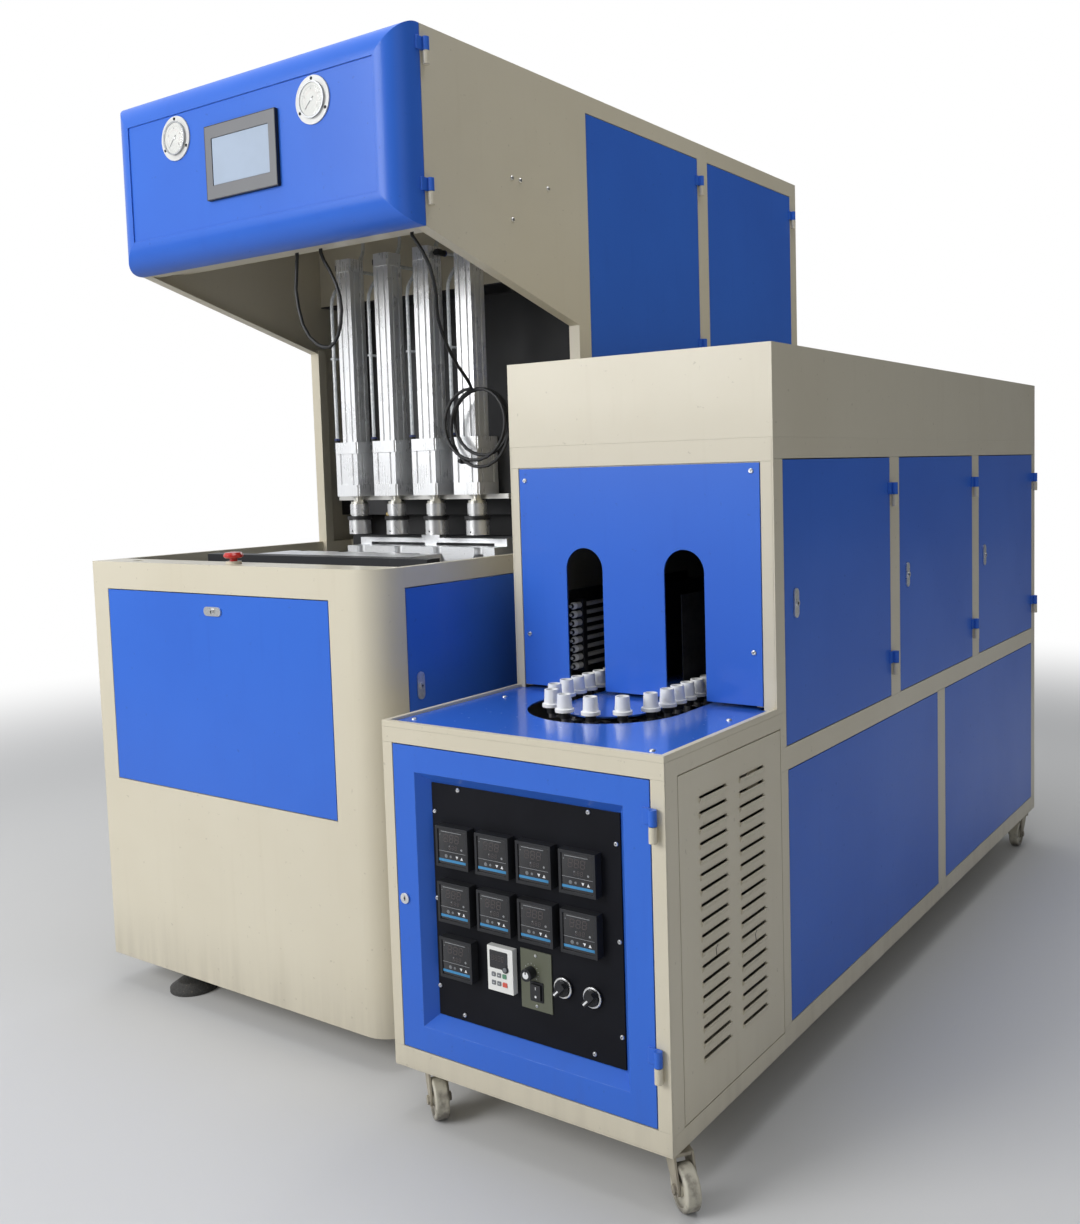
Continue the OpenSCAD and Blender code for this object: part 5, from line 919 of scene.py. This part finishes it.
bent = random.Random(11)
wireRoutes = []
for x, y, z in lampEnds:
    out = lampRow["wireOut"] if x < 300 else -lampRow["wireOut"]
    rise = 1 + (z - lampRow["low"]) * 0.13 + bent.uniform(-1.5, 1.5)
    wireRoutes.append([atHeater(x - out * t, y - 16 - 3 * sin(pi * t), z + rise * t) for t in
                       (0, 0.2, 0.4, 0.6, 0.8, 1)])
routeLength = len(wireRoutes[0])
mesh = bpy.data.meshes.new("lampWireLines")
mesh.from_pydata([tuple(p) for route in wireRoutes for p in route],
                 [(i, i + 1) for i in range(len(wireRoutes) * routeLength - 1) if (i + 1) % routeLength], [])
wirePlan.bake("lampWires", mesh, {"Thickness": lampRow["wireThick"], "Finish": tinnedWire}, "machine", None, 60)
for side, lane, out in zip(("Left", "Right"), lampRow["lanes"], (-lampRow["wireOut"], lampRow["wireOut"])):
    strip = roundBox(lane + out - 7, lane + out + 7, lampRow["low"] - 10, lampRow["low"] + 158, 2)
    plates("terminalStrip" + side, [strip], 12,
           onFront(atHeater, 0, lampFront - 6, 0), blackPlastic, "machine", rim=1.2, sink=18)

# Collars where the air tubes enter their fittings
cavityX = [259, 394, 529, 664]
collarSpots = [(atDesk(x - 55, y, z + 22), (0, 0, 1)) for x in cavityX for y, z in ((602, 1274), (634, 1163))]
collarSpots += [(atDesk(x + side * 38.5, 640, 1747), (0, 1, 0)) for x, side in zip(cavityX, (-1, -1, 1, 1))]
collarProfile = [(4.7, -0.5), (7.6, -0.5), (8.0, 0.4), (8.0, 3.4), (7.2, 4.4), (5.4, 4.8), (4.7, 4.4),
                 (4.7, -0.5)]
collar = turned("tubeCollarMaster", collarProfile, flatPlace, collarNavy, None, 24)
repeat("tubeCollars", collar, collarSpots, collarNavy, "machine")

# Union between the first two nozzles
union = {"nut": 316, "body": 331, "lane": (664, 1098)}
turned("unionNut", [(0, 0), (6.2, 0), (7.4, 1), (7.4, 8), (6.2, 9.5), (4.2, 10), (4.2, 16), (0, 16)],
       Matrix.Translation(atDesk(union["nut"], *union["lane"])) @ turnBy(90, "Y"), brassFitting, "machine",
       6, 20)
turned("unionBody", [(0, 0), (8.5, 0), (9.5, 1), (9.5, 26), (8, 28), (5.5, 28), (5.5, 44), (0, 44)],
       Matrix.Translation(atDesk(union["body"], *union["lane"])) @ turnBy(90, "Y"), blackPlastic, "machine",
       24)
plates("unionHanger", [roundBox(346, 362, 1092, 1138, 2)], 10, onFront(atDesk, 0, 668, 0), blackEnamel,
       "machine", rim=0.8, sink=10)

# Keyholes of the locks: flat black plates laid across each barrel, painted shade of the keyhole's hollow; the
# first two face the front, the others the right side
keyhole = {"round": 2.4, "slot": (-0.7, 0.7, -4.6, -1.5), "ovenHeight": 0.941}
frontLocks = {"front_lock": atDesk(431, 0, 917), "control_lock": atHeater(42, 0, 429)}
sideLocks = {"side_lock": (atDesk(0, 112, 0).y, 0.776), "oven_lock_1": None, "oven_lock_2": None,
             "oven_lock_3": None}


def onRight(x, y, z):
    return Matrix.Translation((x, y, z)) @ turnBy(90, "Z") @ turnBy(90, "X")


for lock, spot in (*frontLocks.items(), *sideLocks.items()):
    low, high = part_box(lock)
    if lock in frontLocks:
        place = Matrix.Translation((spot.x, low.y, spot.z)) @ turnBy(90, "X")
    else:
        place = onRight(high.x, *(spot or ((low.y + high.y) / 2, keyhole["ovenHeight"])))
    plates("keyhole" + lock.title().replace("_", ""),
           [disc(0, 0, keyhole["round"], 20), box(*keyhole["slot"])], 0.12, place, markBlack, lock, rim=0.05)

# Two thin black strokes, each from one louvre's slot down to the next
strokeWidth, strokeSteps, strokeFrom = 2.1, 12, 900
bm = bmesh.new()
for (y0, z0), (y1, z1) in (((153.8, 403.8), (156.4, 382.4)), ((297.4, 378.0), (303.0, 356.6))):
    rings = []
    for i in range(strokeSteps + 1):
        y, z = y0 + (y1 - y0) * i / strokeSteps, z0 + (z1 - z0) * i / strokeSteps
        face = touch("louvre_panel", atHeater(strokeFrom, y, z), ways[0]).x * 1000
        rings.append([bm.verts.new((face + out, heaterCorner.y * 1000 + y + side * strokeWidth / 2, z))
                      for side, out in ((-1, -0.3), (1, -0.3), (1, 0.2), (-1, 0.2))])
    for low, high in zip(rings, rings[1:]):
        for k in range(4):
            bm.faces.new((low[k - 1], low[k], high[k], high[k - 1]))
    bm.faces.new(rings[0][::-1])
    bm.faces.new(rings[-1])
mesh = meshFrom(bm, "penStrokes")
mesh.transform(Matrix.Scale(0.001, 4))
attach(newPiece("penStrokes", mesh, markBlack), "machine")
print("oven, tubes and locks finished")

# Daylight from the upper left front, a broad sky and a pale floor
lights = {"left": ((-1.9, -4.7, 2.8), 162, 2.6), "right": ((3.6, -3.0, 2.6), 12, 2.4),
          "top": ((0.1, 0.0, 4.6), 112, 3.0), "skyLeft": 0.55, "skyRight": 0.2, "mirrorLeft": 0.8,
          "mirrorRight": 0.04, "skyTint": (0.93, 0.96, 1.0, 1), "white": (1, 1, 1, 1)}
floorLook = {"size": 14, "fade": (2.6, 5.5), "tint": (0.6, 0.6, 0.6, 1)}


def areaLamp(name, place, power, size, aim):
    data = bpy.data.lights.new(name, "AREA")
    data.energy, data.size = power, size
    lamp = newPiece(name, data)
    lamp.location = place
    lamp.rotation_euler = (Vector(aim) - Vector(place)).to_track_quat("-Z", "Y").to_euler()


areaLamp("leftWindow", *lights["left"], (0, 0, 1.1))
areaLamp("rightFill", *lights["right"], (0, 0, 0.9))
areaLamp("topLight", *lights["top"], (0, 0.1, 0.8))

world = bpy.data.worlds.new("studio")
scene.world = world
world.use_nodes = True
sky = Graph(world.node_tree)
ray = sky.add("LightPath")
across = sky.axis(sky.add("TexCoord"), 0)
mirrored = ray["Is Glossy Ray"]
strength = across.ramp(-0.5, 0.75, lights["skyLeft"], lights["skyRight"]) * (1 - mirrored) \
    + across.ramp(-0.4, 0.4, lights["mirrorLeft"], lights["mirrorRight"]) * mirrored
soft = sky.add("Background", {"Color": lights["skyTint"], "Strength": strength})
white = sky.add("Background", {"Color": lights["white"], "Strength": 1.0})
mixed = sky.add("MixShader", {0: ray, 1: soft, 2: white})
sky.add("OutputWorld", {"Surface": mixed})

floorMesh = bmesh.new()
bmesh.ops.create_grid(floorMesh, x_segments=1, y_segments=1, size=floorLook["size"])
floorPlate = newPiece("floorPlate", meshFrom(floorMesh, "floorPlate"))
floorPlate.location = (0, 0, -0.0005)
floorFinish = bpy.data.materials.new("paleFloor")
floorFinish.use_nodes = True
g = Graph(floorFinish.node_tree)
seen = g.add("LightPath")
away = g.add("VectorMath", {"operation": "LENGTH"}, {0: g.add("TexCoord", out=3)}, out=1)
matt = g.add("BsdfDiffuse", {"Color": floorLook["tint"]})
bright = g.add("Emission", {"Color": lights["white"], "Strength": 1.0})
faded = g.add("MixShader", {0: away.ramp(*floorLook["fade"]) * seen, 1: matt, 2: bright})
g.add("OutputMaterial", {"Surface": faded})
floorPlate.data.materials.append(floorFinish)

scene.view_settings.view_transform = "Standard"
